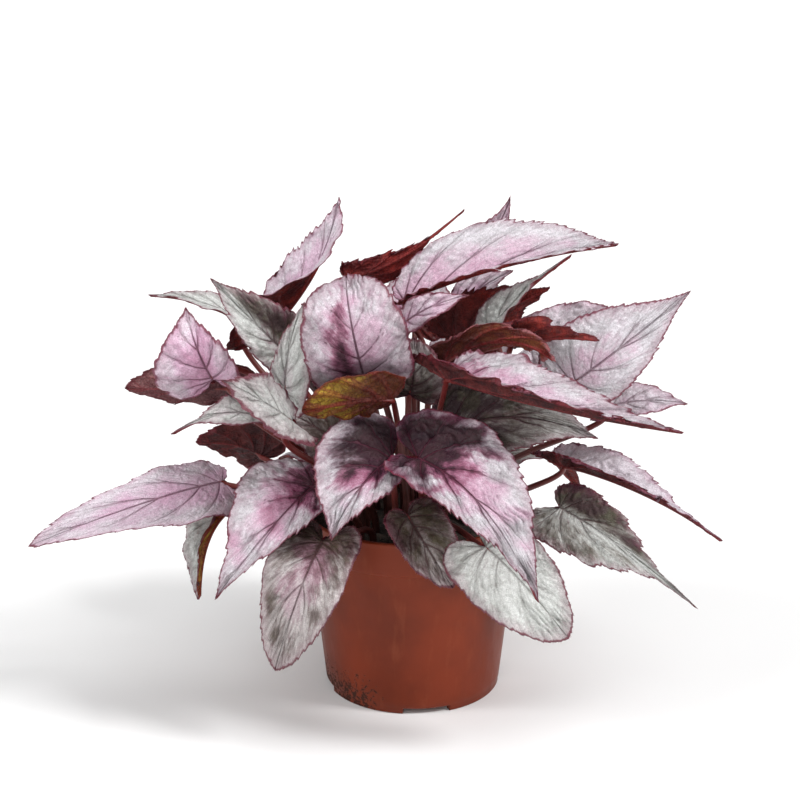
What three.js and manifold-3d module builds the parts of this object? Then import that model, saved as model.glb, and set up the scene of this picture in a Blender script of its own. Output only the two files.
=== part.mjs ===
// A rex begonia in a 120 mm plastic plant pot. Millimetres, +Z up.
// Every leaf is one solid: a thin toothed blade, folded along its midrib, on its own stem.
// The leaves are placed from the pot's axis, with z = 0 where the pot's feet stand.
// At the end the whole plant is moved sideways, so that the origin is the middle of its outline seen
// from above, on the surface that it stands on.

import * as THREE from 'three';
import { mergeVertices } from 'three/addons/utils/BufferGeometryUtils.js';
import Module from 'manifold-3d';

const wasm = await Module();
wasm.setup();

// ---- driving dimensions ----

const pot = {
  height: 102,
  rimRadius: 60,
  footRadius: 47.6,
  bandHeight: 83, // lower edge of the collar below the rim
  bandStep: 0.9, // how far the collar stands proud
  wall: 1.6,
  rimWidth: 2.6,
  rimRound: 0.9, // bevel at the top of the rim and under the collar
  footRound: 1.3, // bevel at the foot's outer edge
  floorUnderside: 3.5,
  floorTop: 5.5,
  footWidth: 4,
  footNotch: { count: 4, bearing: 9, width: 26, height: 3.3 },
  drain: { count: 6, ring: 28, radius: 4, facets: 10 },
  facets: 30,
};

const soil = {
  top: 92,
  mound: 3, // rise towards the middle
  lump: 1.1, // height of the lumps
  ringRadii: [14, 28, 40, 50],
  facets: 20,
  gap: 0.3, // to the pot and to every stem, at the least
};

const stem = {
  footRadius: 2, // at the soil
  neckRadius: 1.4, // where it meets the blade
  keelRadius: 0.7, // where it runs out below the midrib
  keelShare: 0.18, // how much of the midrib it runs along
  keelDrop: 0.5, // how deep its axis lies there below the blade's middle
  neckDrop: 1.3, // how deep it lies at the blade's base
  rootDepth: 12,
  collar: 4, // upright stretch above the soil
  rise: 0.4, // the stem's upright pull at the soil, in shares of its span
  pull: 0.3, // its pull towards the blade, in shares of its span
  sides: 5,
  steps: 4,
  crownReach: 42, // no stem leaves the soil further out than this
  lowLeaf: { height: 110, footShare: 0.62 }, // how far out its foot stands, in shares of its base's reach
  highLeaf: { height: 216, footShare: 0.28 },
};

const blade = {
  thickness: 0.9,
  toothDepth: 1.7,
  fanShare: 0.42, // part of the outline whose veins all start at the stem
  wave: 1.2, // height of the waves along the margin
  wavesPerLeaf: 2.5,
  hookFrom: 0.6, // where a hooked tip begins to curl, from base to tip
  veinSpread: 0.9, // below 1 the side veins start closer to the tip
  ring: 0.6, // where the ring of points lies, from the midrib at 0 to the margin at 1
  longFrom: 62, // blades longer than this have more cells, each with one tooth
  longCells: 8,
  shortCells: 6,
};

const potColour = { color: 0x8d4632, roughness: 0.5, metalness: 0 };
const soilColour = { color: 0x1d1714, roughness: 1, metalness: 0 };
const leafColours = {
  pink: { color: 0xc9a9b8, roughness: 0.45, metalness: 0.1 },
  silver: { color: 0xb4b9b0, roughness: 0.45, metalness: 0.1 },
  plum: { color: 0x75606c, roughness: 0.5, metalness: 0.05 },
  wine: { color: 0x6a2a2c, roughness: 0.55, metalness: 0 },
};

// Half outlines of a blade, from the notch at the stem, round the basal lobe, to the tip.
// x is in half widths, y in blade lengths.
const outlines = {
  heart: [[0, 0], [0.2, -0.2], [0.56, -0.27], [0.9, -0.1], [1, 0.18], [0.88, 0.44], [0.6, 0.66],
    [0.27, 0.84], [0.08, 0.95], [0, 1]],
  blunt: [[0, 0], [0.2, -0.2], [0.56, -0.27], [0.9, -0.1], [1, 0.2], [0.98, 0.45], [0.84, 0.68],
    [0.55, 0.87], [0.24, 0.97], [0, 1]],
  tailed: [[0, 0], [0.22, -0.18], [0.6, -0.24], [0.92, -0.08], [1, 0.16], [0.84, 0.4], [0.45, 0.6],
    [0.14, 0.74], [0.06, 0.88], [0, 1]],
  oval: [[0, 0], [0.16, -0.04], [0.42, -0.02], [0.74, 0.1], [0.98, 0.32], [0.97, 0.54], [0.72, 0.74],
    [0.34, 0.89], [0.1, 0.97], [0, 1]],
};

// ---- the leaves ----
// base, middle and tip of the midrib, the blade's width, and the way its upper side faces.
// sides: share of the half width [left, right], seen from the stem with the upper side up.
// lobes: length of the basal lobes [left, right] against the outline's own.
// fold: degrees that each half stands up from flat [left at stem, left at tip, right at stem, right at tip].
// cup: further degrees from midrib to margin; hook: mm that the tip curls back.
// foot: where the stem leaves the soil, if not by the rule; arrival: the stem's direction at the blade.

const leaves = [];

function leaf(name, base, middle, tip, width, face, options = {}) {
  const plain = {
    sides: [1, 1], lobes: [1, 1], fold: [10, 10, 10, 10], cup: -8, hook: 0, form: 'heart', tone: 'pink',
  };
  leaves.push({ name, base, middle, tip, width, face, ...plain, ...options });
}

// A leaf whose midrib lies in one upright plane through the pot's axis: points are [reach, height].
function radialLeaf(name, bearing, base, middle, tip, width, options) {
  const angle = THREE.MathUtils.degToRad(bearing);
  const place = ([reach, height]) => [reach * Math.sin(angle), -reach * Math.cos(angle), height];
  const face = [0.45 * Math.sin(angle), -0.45 * Math.cos(angle), 0.9];
  leaf(name, place(base), place(middle), place(tip), width, face, { lobes: [0.7, 0.7], ...options });
}

// front
leaf('leaf_front_left', [-11, -62, 151], [-28, -88, 142], [-41, -98, 120], 56, [-0.3, -0.8, 0.5],
  { sides: [0.6, 1.2], lobes: [0.2, 1], fold: [10, 10, 34, 10], cup: -15, foot: [-9, -36] });
leaf('leaf_front_right', [2, -78, 156], [33, -108, 141], [60, -124, 98], 62, [0.3, -0.75, 0.6],
  { sides: [1.1, 0.65], lobes: [1.1, 0.5], fold: [14, 14, 14, 14], foot: [5, -31] });
leaf('leaf_low_left', [-51, -54, 133], [-72, -80, 119], [-100, -90, 85], 56, [-0.3, -0.75, 0.6],
  { sides: [0.6, 1.2], lobes: [0.8, 0.8] });
leaf('leaf_rim_left', [-46, -78, 112], [-57, -94, 91], [-71, -84, 43], 44, [-0.25, -0.9, 0.35],
  { form: 'blunt', lobes: [0.8, 0.8], tone: 'silver' });
leaf('leaf_rim_small', [-3, -58, 118], [7, -71, 105], [20, -75, 85], 36, [0.1, -0.9, 0.45],
  { form: 'blunt', sides: [1, 0.8], lobes: [0.6, 0.6], tone: 'plum', foot: [-6, -42] });
leaf('leaf_rim_right', [36, -79, 109], [55, -96, 95], [77, -102, 69], 52, [0, -0.8, 0.5],
  { form: 'blunt', sides: [0.8, 1], tone: 'silver', foot: [14, -30] });

// left
leaf('leaf_far_left', [-100, -32, 127], [-137, -58, 125], [-197, -66, 104], 42, [-0.1, -0.72, 0.7],
  { form: 'blunt', sides: [1, 0.85], lobes: [0.4, 0.4], fold: [-10, 50, 0, 0], cup: -5, foot: [-34, -19],
    arrival: [-0.9, -0.2, 0.4] });
leaf('leaf_low_left_folded', [-91, -27, 113], [-106, -47, 102], [-112, -53, 69], 34, [-0.7, -0.5, 0.5],
  { form: 'blunt', sides: [0.4, 1.5], lobes: [0.3, 0.3], fold: [70, 70, 0, 0], cup: 0, tone: 'silver',
    foot: [-38, -8] });
leaf('leaf_left_inner', [-61, -67, 172], [-76, -91, 191], [-93, -99, 203], 40, [-0.1, -0.75, 0.7],
  { lobes: [0.6, 0.6], fold: [14, 14, 14, 14], foot: [-20, -20] });
leaf('leaf_left_pale', [-83, -40, 166], [-101, -52, 170], [-124, -50, 159], 34, [-0.2, -0.6, 0.8],
  { form: 'tailed', sides: [1, 0.7], fold: [20, 20, 20, 20], cup: 0, tone: 'silver', foot: [-31, -12],
    arrival: [-0.7, -0.1, 0.7] });
leaf('leaf_left_upright', [-103, -36, 184], [-110, -46, 205], [-116, -34, 222], 46, [-0.2, -0.85, 0.45],
  { sides: [1.25, 0.75], lobes: [0.5, 0.5], fold: [14, 14, 14, 14], cup: -15, foot: [-29, 2] });
leaf('leaf_left_under', [-98, -8, 171], [-124, -12, 172], [-152, -12, 172], 34, [-0.1, 0.85, 0.45],
  { form: 'blunt', fold: [14, 14, 14, 14], cup: 0, tone: 'wine', arrival: [-0.6, 0.2, 0.6] });
leaf('leaf_left_sliver', [-94, 20, 202], [-117, 20, 211], [-142, 22, 214], 20, [0, -0.3, 0.95],
  { fold: [20, 20, 20, 20], cup: 0, tone: 'silver' });
leaf('leaf_left_dark', [-67, -13, 192], [-84, -21, 212], [-106, -5, 230], 44, [-0.2, -0.7, 0.6],
  { sides: [0.7, 0.9], lobes: [0.6, 0.6], fold: [16, 16, 16, 16], tone: 'plum', foot: [-24, -3],
    arrival: [-0.3, -0.1, 1] });
leaf('leaf_left_maroon', [-82, 4, 129], [-96, 2, 136], [-117, 0, 138], 40, [0, 0.8, 0.6],
  { form: 'blunt', cup: 0, tone: 'wine', arrival: [-0.8, 0.2, 0.4] });
leaf('leaf_left_crinkled', [-39, -28, 147], [-53, -31, 158], [-68, -28, 165], 36, [-0.2, -0.75, 0.5],
  { lobes: [0.5, 0.5], cup: 0, tone: 'plum', foot: [-27, -22] });

// middle
leaf('leaf_centre_edge', [-66, -36, 178], [-63, -38, 203], [-56, -27, 223], 28, [-0.35, -0.8, 0.3],
  { sides: [0.6, 1.3], lobes: [1.2, 0.8], fold: [25, 25, 20, 20], cup: 0, tone: 'silver',
    foot: [-25, -15] });
leaf('leaf_centre_tall', [-25, -52, 190], [-31, -68, 223], [-35, -50, 249], 56, [-0.05, -0.95, 0.3],
  { form: 'blunt', lobes: [0.4, 0.3], cup: -25, hook: 10, foot: [-13, -12] });
leaf('leaf_centre_curled', [-11, -60, 181], [-31, -68, 182], [-56, -68, 177], 34, [0.1, 0.8, 0.4],
  { form: 'blunt', lobes: [0.3, 0.3], fold: [14, 14, 14, 14], cup: 0, tone: 'wine', foot: [-3, -26],
    arrival: [0, -1, 0.2] });
leaf('leaf_centre_dark', [-2, -34, 176], [0, -39, 190], [0, -35, 206], 34, [0.1, -0.9, 0.2],
  { form: 'blunt', lobes: [0.5, 0.5], cup: 0, tone: 'plum', foot: [-4, -15] });
leaf('leaf_centre_small', [-4, -26, 212], [11, -34, 223], [28, -30, 227], 20, [0, -0.7, 0.7],
  { lobes: [0.5, 0.5], cup: 0, foot: [3, -9] });
leaf('leaf_centre_strip', [21, 18, 210], [36, 16, 219], [53, 16, 229], 20, [0, -0.6, 0.8],
  { form: 'oval', fold: [20, 20, 20, 20], cup: 0, foot: [15, 4], arrival: [0.2, 0.3, 1] });

// top
leaf('leaf_top_left', [-68, 8, 207], [-48, 4, 239], [-39, 10, 270], 46, [-0.45, -0.8, 0.4],
  { sides: [1, 1.2], lobes: [0.8, 1.6], fold: [0, 0, 110, 0], cup: 0, foot: [-14, 3] });
leaf('leaf_top_wine', [-36, 16, 225], [-6, 18, 236], [27, 22, 261], 46, [0.2, 0.8, 0.5],
  { form: 'tailed', sides: [0.9, 0.42], lobes: [0.7, 0.2], fold: [20, 20, 20, 20], cup: 0, tone: 'wine',
    foot: [-5, 8], arrival: [-0.2, 0.1, 1] });
leaf('leaf_top_right', [-5, -14, 220], [48, -14, 239], [107, 0, 247], 58, [0.1, -0.8, 0.6],
  { form: 'oval', sides: [0.95, 0.5], fold: [0, 0, 80, 60], cup: 0 });
leaf('leaf_top_spike', [33, 44, 229], [45, 46, 244], [53, 50, 262], 20, [0.2, -0.8, 0.5],
  { cup: 0, foot: [8, 15], arrival: [0.2, 0.3, 1] });

// right
leaf('leaf_right_wine', [21, 2, 196], [46, -2, 211], [72, 4, 223], 44, [0.2, 0.9, 0.4],
  { lobes: [0.6, 0.6], fold: [12, 12, 12, 12], cup: 0, tone: 'wine', foot: [10, -3],
    arrival: [0.3, 0.1, 1] });
leaf('leaf_right_blade', [39, -16, 202], [55, -19, 224], [81, -19, 246], 26, [-0.8, -0.4, 0.3],
  { form: 'tailed', lobes: [0.3, 0.3], fold: [30, 30, 30, 30], cup: 0, tone: 'silver', foot: [17, -4] });
leaf('leaf_right_wine_point', [50, -31, 201], [68, -38, 207], [95, -35, 205], 34, [0.2, 0.6, 0.8],
  { lobes: [0.4, 0.4], fold: [20, 20, 20, 20], cup: 0, tone: 'wine' });
leaf('leaf_right_frill', [14, -34, 191], [44, -44, 207], [72, -44, 196], 24, [0.1, 0.8, 0.6],
  { form: 'blunt', fold: [20, 20, 20, 20], cup: 0, tone: 'wine', foot: [9, -11],
    arrival: [0.1, -1.2, 0.8] });
leaf('leaf_right_long', [16, -63, 193], [66, -93, 187], [132, -88, 173], 48, [0.1, -0.55, 0.82],
  { sides: [1.2, 0.6], lobes: [0.2, 0.85], fold: [5, 5, 85, 65], cup: 0, foot: [4, -24],
    arrival: [0.1, -0.7, 0.9] });
leaf('leaf_right_broad', [83, -22, 178], [110, -24, 200], [144, -12, 225], 58, [0.15, -0.8, 0.5],
  { sides: [1, 0.75], lobes: [0.6, 0.4], fold: [8, 8, 8, 8], cup: 0 });
leaf('leaf_right_behind', [63, 14, 188], [87, 14, 197], [110, 12, 205], 34, [0, -0.8, 0.6],
  { form: 'blunt', cup: 0, tone: 'silver', foot: [28, -3], arrival: [0.3, 0.2, 1] });
leaf('leaf_right_silver', [104, -14, 163], [124, -18, 167], [144, -18, 165], 26, [0, -0.6, 0.8],
  { cup: 0, tone: 'silver', foot: [32, 8] });
leaf('leaf_right_dark', [17, -44, 159], [53, -62, 172], [93, -60, 160], 58, [0.1, -0.7, 0.7],
  { sides: [0.9, 1], lobes: [0.4, 0.4], fold: [14, 14, 14, 14], tone: 'plum', foot: [11, -20] });
leaf('leaf_right_drip', [80, -18, 131], [123, -38, 121], [163, -36, 95], 44, [0.3, -0.6, 0.75],
  { form: 'tailed', sides: [1, 0.5], lobes: [0.5, 0.8], fold: [0, 0, 75, 60], cup: 0, tone: 'silver' });
leaf('leaf_low_right', [77, -34, 113], [108, -56, 99], [149, -54, 64], 46, [0.1, -0.85, 0.5],
  { form: 'tailed', sides: [0.8, 1], lobes: [0.5, 0.6], tone: 'silver' });

// back: three tiers of leaves behind the pot's axis
radialLeaf('leaf_back_low_1', 125, [58, 118], [92, 112], [122, 78], 48, { tone: 'silver' });
radialLeaf('leaf_back_low_2', 152, [60, 112], [92, 102], [118, 62], 50);
radialLeaf('leaf_back_low_3', 182, [58, 120], [92, 112], [124, 76], 54);
radialLeaf('leaf_back_low_4', 210, [60, 112], [90, 104], [116, 64], 46, { tone: 'silver' });
radialLeaf('leaf_back_low_5', 236, [58, 120], [84, 112], [104, 80], 44);
radialLeaf('leaf_back_mid_1', 121, [54, 158], [76, 166], [104, 146], 46);
radialLeaf('leaf_back_mid_2', 149, [54, 166], [78, 174], [112, 150], 50);
radialLeaf('leaf_back_mid_3', 177, [54, 160], [82, 166], [116, 140], 52, { tone: 'silver' });
radialLeaf('leaf_back_mid_4', 205, [54, 168], [78, 174], [110, 152], 46);
radialLeaf('leaf_back_mid_5', 233, [54, 160], [76, 168], [100, 148], 46, { tone: 'plum' });
radialLeaf('leaf_back_high_1', 128, [44, 188], [60, 204], [86, 202], 38, { tone: 'silver', foot: [16, 16] });
radialLeaf('leaf_back_high_2', 178, [38, 194], [55, 210], [84, 208], 42);
radialLeaf('leaf_back_high_3', 229, [38, 188], [56, 202], [82, 200], 38);

// ---- small helpers ----

const vector = ([x, y, z]) => new THREE.Vector3(x, y, z);
const lerp = THREE.MathUtils.lerp;
const clamp = THREE.MathUtils.clamp;

// A repeatable number from -1 to 1 for each pair of whole numbers.
function chance(a, b) {
  const wave = Math.sin(a * 127.1 + b * 311.7) * 43758.5453;
  return 2 * (wave - Math.floor(wave)) - 1;
}

function meshGeometry(points, triangles) {
  const geometry = new THREE.BufferGeometry();
  geometry.setAttribute('position', new THREE.Float32BufferAttribute(points.flatMap((p) => p.toArray()), 3));
  geometry.setIndex(triangles.flat());
  return geometry;
}

function solidFrom(geometry) {
  const plain = geometry.clone();
  plain.deleteAttribute('normal');
  plain.deleteAttribute('uv');
  const merged = mergeVertices(plain, 1e-4);
  const corners = merged.getIndex().array;
  const kept = [];
  for (let i = 0; i < corners.length; i += 3) {
    const [a, b, c] = corners.slice(i, i + 3);
    if (a !== b && b !== c && c !== a) kept.push(a, b, c);
  }
  return new wasm.Manifold(new wasm.Mesh({
    numProp: 3,
    vertProperties: new Float32Array(merged.getAttribute('position').array),
    triVerts: new Uint32Array(kept),
  }));
}

function geometryFrom(solid) {
  const { vertProperties, triVerts, numProp } = solid.getMesh();
  const geometry = new THREE.BufferGeometry();
  const positions = new Float32Array((vertProperties.length / numProp) * 3);
  for (let i = 0; i < positions.length / 3; i += 1) {
    for (let k = 0; k < 3; k += 1) positions[3 * i + k] = vertProperties[numProp * i + k];
  }
  geometry.setAttribute('position', new THREE.BufferAttribute(positions, 3));
  geometry.setIndex(new THREE.BufferAttribute(new Uint32Array(triVerts), 1));
  return geometry;
}

// ---- the shape of a blade ----

// Catmull-Rom curve through the outline's points, with t from 0 to 1.
function outlinePoint(form, t) {
  const points = outlines[form];
  const spans = points.length - 1;
  const span = Math.min(Math.floor(t * spans), spans - 1);
  const w = t * spans - span;
  const at = (k) => points[clamp(k, 0, spans)];
  return [0, 1].map((axis) => {
    const [p0, p1, p2, p3] = [-1, 0, 1, 2].map((k) => at(span + k)[axis]);
    const leave = (p2 - p0) / 2;
    const arrive = (p3 - p1) / 2;
    return (2 * p1 - 2 * p2 + leave + arrive) * w ** 3
      + (-3 * p1 + 3 * p2 - 2 * leave - arrive) * w ** 2 + leave * w + p1;
  });
}

// How far along the midrib the vein that reaches the outline at t begins.
function veinStart(t) {
  return clamp((t - blade.fanShare) / (1 - blade.fanShare), 0, 1) ** blade.veinSpread;
}

// Flat place of a point that lies u of the way from the midrib to the outline at t.
function flatPoint(shape, side, u, t) {
  const [x, y] = outlinePoint(shape.form, t);
  const lobe = shape.lobes[side < 0 ? 0 : 1];
  const reachY = y < 0 ? y * lobe : y;
  return [side * x * u, lerp(veinStart(t), reachY, u)];
}

// Point, direction and upper side of the midrib, a quadratic curve through base, middle and tip.
function midribFrame(shape, y) {
  const base = vector(shape.base);
  const tip = vector(shape.tip);
  const control = vector(shape.middle).multiplyScalar(2)
    .addScaledVector(base, -0.5).addScaledVector(tip, -0.5);
  const s = clamp(y, 0, 1);
  const point = base.clone().multiplyScalar((1 - s) ** 2).addScaledVector(control, 2 * s * (1 - s))
    .addScaledVector(tip, s * s);
  const slope = control.clone().sub(base).multiplyScalar(2 * (1 - s))
    .addScaledVector(tip.clone().sub(control), 2 * s);
  point.addScaledVector(slope, Math.min(y, 0));
  const along = slope.normalize();
  const up = vector(shape.face);
  up.addScaledVector(along, -up.dot(along)).normalize();
  const right = new THREE.Vector3().crossVectors(along, up);
  return { point, along, up, right };
}

// The blade's middle surface: x in half widths (left is negative), y in lengths from base to tip.
function bladePoint(shape, x, y) {
  const { point, up, right } = midribFrame(shape, y);
  const sideIndex = x < 0 ? 0 : 1;
  const reach = Math.abs(x);
  const halfWidth = (shape.width / 2) * shape.sides[sideIndex];
  const s = clamp(y, 0, 1);
  const fold = lerp(shape.fold[2 * sideIndex], shape.fold[2 * sideIndex + 1], s);
  const angle = THREE.MathUtils.degToRad(fold + (shape.cup * reach) / 2);
  const turn = 2 * Math.PI * (blade.wavesPerLeaf * y + 0.25 * Math.sign(x));
  const wave = blade.wave * reach ** 2 * Math.sin(turn);
  const hook = shape.hook * clamp((y - blade.hookFrom) / (1 - blade.hookFrom), 0, 1) ** 2;
  return point
    .addScaledVector(right, Math.sign(x) * halfWidth * reach * Math.cos(angle))
    .addScaledVector(up, halfWidth * reach * Math.sin(angle) + wave - hook);
}

// Closed toothed blade. One ring of points runs between the midrib and the margin, and the margin has
// two steps for each cell, a tooth and a notch. Both faces carry the same triangles.
function bladeSolid(shape) {
  const length = vector(shape.base).distanceTo(vector(shape.tip));
  const cells = length > blade.longFrom ? blade.longCells : blade.shortCells;
  const points = [];
  const add = (flat) => points.push(bladePoint(shape, ...flat)) - 1;
  const base = add([0, 0]);
  const tip = add([0, 1]);
  const midrib = [];
  for (let j = 0; j <= cells; j += 1) {
    const start = veinStart(j / cells);
    if (start === 0) midrib.push(base);
    else if (j === cells) midrib.push(tip);
    else midrib.push(add([0, start]));
  }
  const triangles = [];
  const margin = [];
  for (const side of [1, -1]) {
    const face = (a, b, c) => {
      if (a === b || b === c || c === a) return;
      triangles.push(side > 0 ? [a, b, c] : [a, c, b]);
    };
    const ring = midrib.map((unused, j) => {
      if (j === 0) return base;
      return j === cells ? tip : add(flatPoint(shape, side, blade.ring, j / cells));
    });
    for (let j = 0; j < cells; j += 1) {
      face(midrib[j], ring[j], ring[j + 1]);
      face(midrib[j], ring[j + 1], midrib[j + 1]);
    }
    const notch = 1 - (2 * blade.toothDepth) / shape.width;
    const edge = [base];
    for (let k = 1; k < 2 * cells; k += 1) {
      const isTooth = k % 2 === 1;
      const t = (k + (isTooth ? 0.3 : 0)) / (2 * cells);
      edge.push(add(flatPoint(shape, side, isTooth ? 1 : notch, t)));
    }
    edge.push(tip);
    for (let j = 0; j < cells; j += 1) {
      face(ring[j], edge[2 * j], edge[2 * j + 1]);
      face(ring[j], edge[2 * j + 1], ring[j + 1]);
      face(ring[j + 1], edge[2 * j + 1], edge[2 * j + 2]);
    }
    for (let k = 0; k < 2 * cells; k += 1) {
      margin.push(side > 0 ? [edge[k], edge[k + 1]] : [edge[k + 1], edge[k]]);
    }
  }
  return thicken(points, triangles, margin, blade.thickness);
}

// Both faces of a sheet, half the thickness to each side, with a wall along its margin.
function thicken(points, triangles, margin, thickness) {
  const normals = points.map(() => new THREE.Vector3());
  for (const corners of triangles) {
    const [a, b, c] = corners.map((i) => points[i]);
    const normal = b.clone().sub(a).cross(c.clone().sub(a));
    for (const i of corners) normals[i].add(normal);
  }
  const half = thickness / 2;
  const upper = points.map((p, i) => p.clone().addScaledVector(normals[i].normalize(), half));
  const lower = points.map((p, i) => p.clone().addScaledVector(normals[i], -half));
  const under = points.length;
  const faces = [...triangles];
  for (const [a, b, c] of triangles) faces.push([a + under, c + under, b + under]);
  for (const [a, b] of margin) faces.push([b, a, a + under], [b, a + under, b + under]);
  return solidFrom(meshGeometry([...upper, ...lower], faces));
}

// ---- stems ----

// Where a leaf's stem leaves the soil: low outer leaves grow further out than high ones.
function stemFoot(shape) {
  if (shape.foot) return shape.foot;
  const [x, y, z] = shape.base;
  const reach = Math.hypot(x, y);
  const { lowLeaf, highLeaf } = stem;
  const climb = clamp((z - lowLeaf.height) / (highLeaf.height - lowLeaf.height), 0, 1);
  const share = lerp(lowLeaf.footShare, highLeaf.footShare, climb);
  const foot = Math.min(reach * share, stem.crownReach);
  return [(x / reach) * foot, (y / reach) * foot];
}

// Closed tube through the centres, with a radius at each, on frames carried along without twist.
function tubeSolid(centres, radii, sides) {
  const points = [];
  const triangles = [];
  let across = new THREE.Vector3(1, 0, 0);
  centres.forEach((centre, i) => {
    const before = centres[Math.max(i - 1, 0)];
    const after = centres[Math.min(i + 1, centres.length - 1)];
    const along = after.clone().sub(before).normalize();
    across = across.clone().addScaledVector(along, -across.dot(along)).normalize();
    const third = new THREE.Vector3().crossVectors(along, across);
    for (let k = 0; k < sides; k += 1) {
      const angle = (2 * Math.PI * k) / sides;
      points.push(centre.clone().addScaledVector(across, radii[i] * Math.cos(angle))
        .addScaledVector(third, radii[i] * Math.sin(angle)));
    }
    if (i === 0) return;
    const start = (i - 1) * sides;
    for (let k = 0; k < sides; k += 1) {
      const next = (k + 1) % sides;
      triangles.push([start + k, start + next, start + sides + next]);
      triangles.push([start + k, start + sides + next, start + sides + k]);
    }
  });
  const last = (centres.length - 1) * sides;
  for (let k = 1; k < sides - 1; k += 1) {
    triangles.push([0, k + 1, k], [last, last + k, last + k + 1]);
  }
  return solidFrom(meshGeometry(points, triangles));
}

// A stem rises straight out of the soil, bends out to the blade's base and runs on as a keel
// below the midrib.
function stemSolid(shape) {
  const [footX, footY] = stemFoot(shape);
  const foot = new THREE.Vector3(footX, footY, soil.top);
  const { point: base, along, up } = midribFrame(shape, 0);
  const neck = base.clone().addScaledVector(up, -stem.neckDrop);
  const span = neck.distanceTo(foot);
  const arrival = shape.arrival ? vector(shape.arrival).normalize()
    : along.clone().multiplyScalar(0.35).addScaledVector(up, 0.95).normalize();
  const start = foot.clone().setZ(soil.top + stem.collar);
  const curve = new THREE.CubicBezierCurve3(start, foot.clone().setZ(soil.top + stem.rise * span),
    neck.clone().addScaledVector(arrival, -stem.pull * span), neck);
  const centres = [foot.clone().setZ(soil.top - stem.rootDepth)];
  const radii = [stem.footRadius];
  for (let i = 0; i <= stem.steps; i += 1) {
    centres.push(curve.getPoint(i / stem.steps));
    radii.push(lerp(stem.footRadius, stem.neckRadius, i / stem.steps));
  }
  const keel = midribFrame(shape, stem.keelShare);
  centres.push(keel.point.addScaledVector(keel.up, -stem.keelDrop));
  radii.push(stem.keelRadius);
  return tubeSolid(centres, radii, stem.sides);
}

function leafMesh(shape) {
  const solid = bladeSolid(shape).add(stemSolid(shape));
  const mesh = new THREE.Mesh(geometryFrom(solid), new THREE.MeshStandardMaterial(leafColours[shape.tone]));
  mesh.name = shape.name;
  return mesh;
}

// ---- pot and soil ----

const outerRadiusAt = (z) => lerp(pot.footRadius, pot.rimRadius, z / pot.height);

function potMesh() {
  const underBand = outerRadiusAt(pot.bandHeight) - pot.bandStep;
  const innerRim = pot.rimRadius - pot.rimWidth;
  const innerBand = underBand - pot.wall;
  const innerFloor = outerRadiusAt(pot.floorTop) - pot.wall;
  const profile = [
    [0, pot.floorUnderside],
    [pot.footRadius - pot.footWidth, pot.floorUnderside],
    [pot.footRadius - pot.footWidth, 0],
    [pot.footRadius - pot.footRound, 0],
    [pot.footRadius, pot.footRound],
    [underBand, pot.bandHeight],
    [underBand + pot.bandStep, pot.bandHeight + pot.rimRound],
    [pot.rimRadius, pot.height - pot.rimRound],
    [pot.rimRadius - pot.rimRound, pot.height],
    [innerRim, pot.height],
    [innerBand, pot.bandHeight],
    [innerFloor, pot.floorTop],
    [0, pot.floorTop],
  ].map(([r, z]) => new THREE.Vector2(r, z));
  // a lathe turns about Y: the quarter turn about X stands it upright on Z
  const shell = new THREE.LatheGeometry(profile, pot.facets).rotateX(Math.PI / 2);
  let solid = solidFrom(shell);
  const { count, bearing, width, height } = pot.footNotch;
  const notchDepth = 4 * pot.footWidth;
  for (let i = 0; i < count; i += 1) {
    const notch = new THREE.BoxGeometry(width, notchDepth, 2 * height);
    notch.translate(0, -pot.footRadius, 0).rotateZ(THREE.MathUtils.degToRad(bearing + (360 * i) / count));
    solid = solid.subtract(solidFrom(notch));
  }
  const { ring, radius, facets } = pot.drain;
  for (let i = 0; i < pot.drain.count; i += 1) {
    const angle = (2 * Math.PI * (i + 0.5)) / pot.drain.count;
    const hole = new THREE.CylinderGeometry(radius, radius, 4 * pot.floorTop, facets);
    hole.rotateX(Math.PI / 2).translate(ring * Math.cos(angle), ring * Math.sin(angle), 0);
    solid = solid.subtract(solidFrom(hole));
  }
  const mesh = new THREE.Mesh(geometryFrom(solid), new THREE.MeshStandardMaterial(potColour));
  mesh.name = 'pot';
  return mesh;
}

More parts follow.
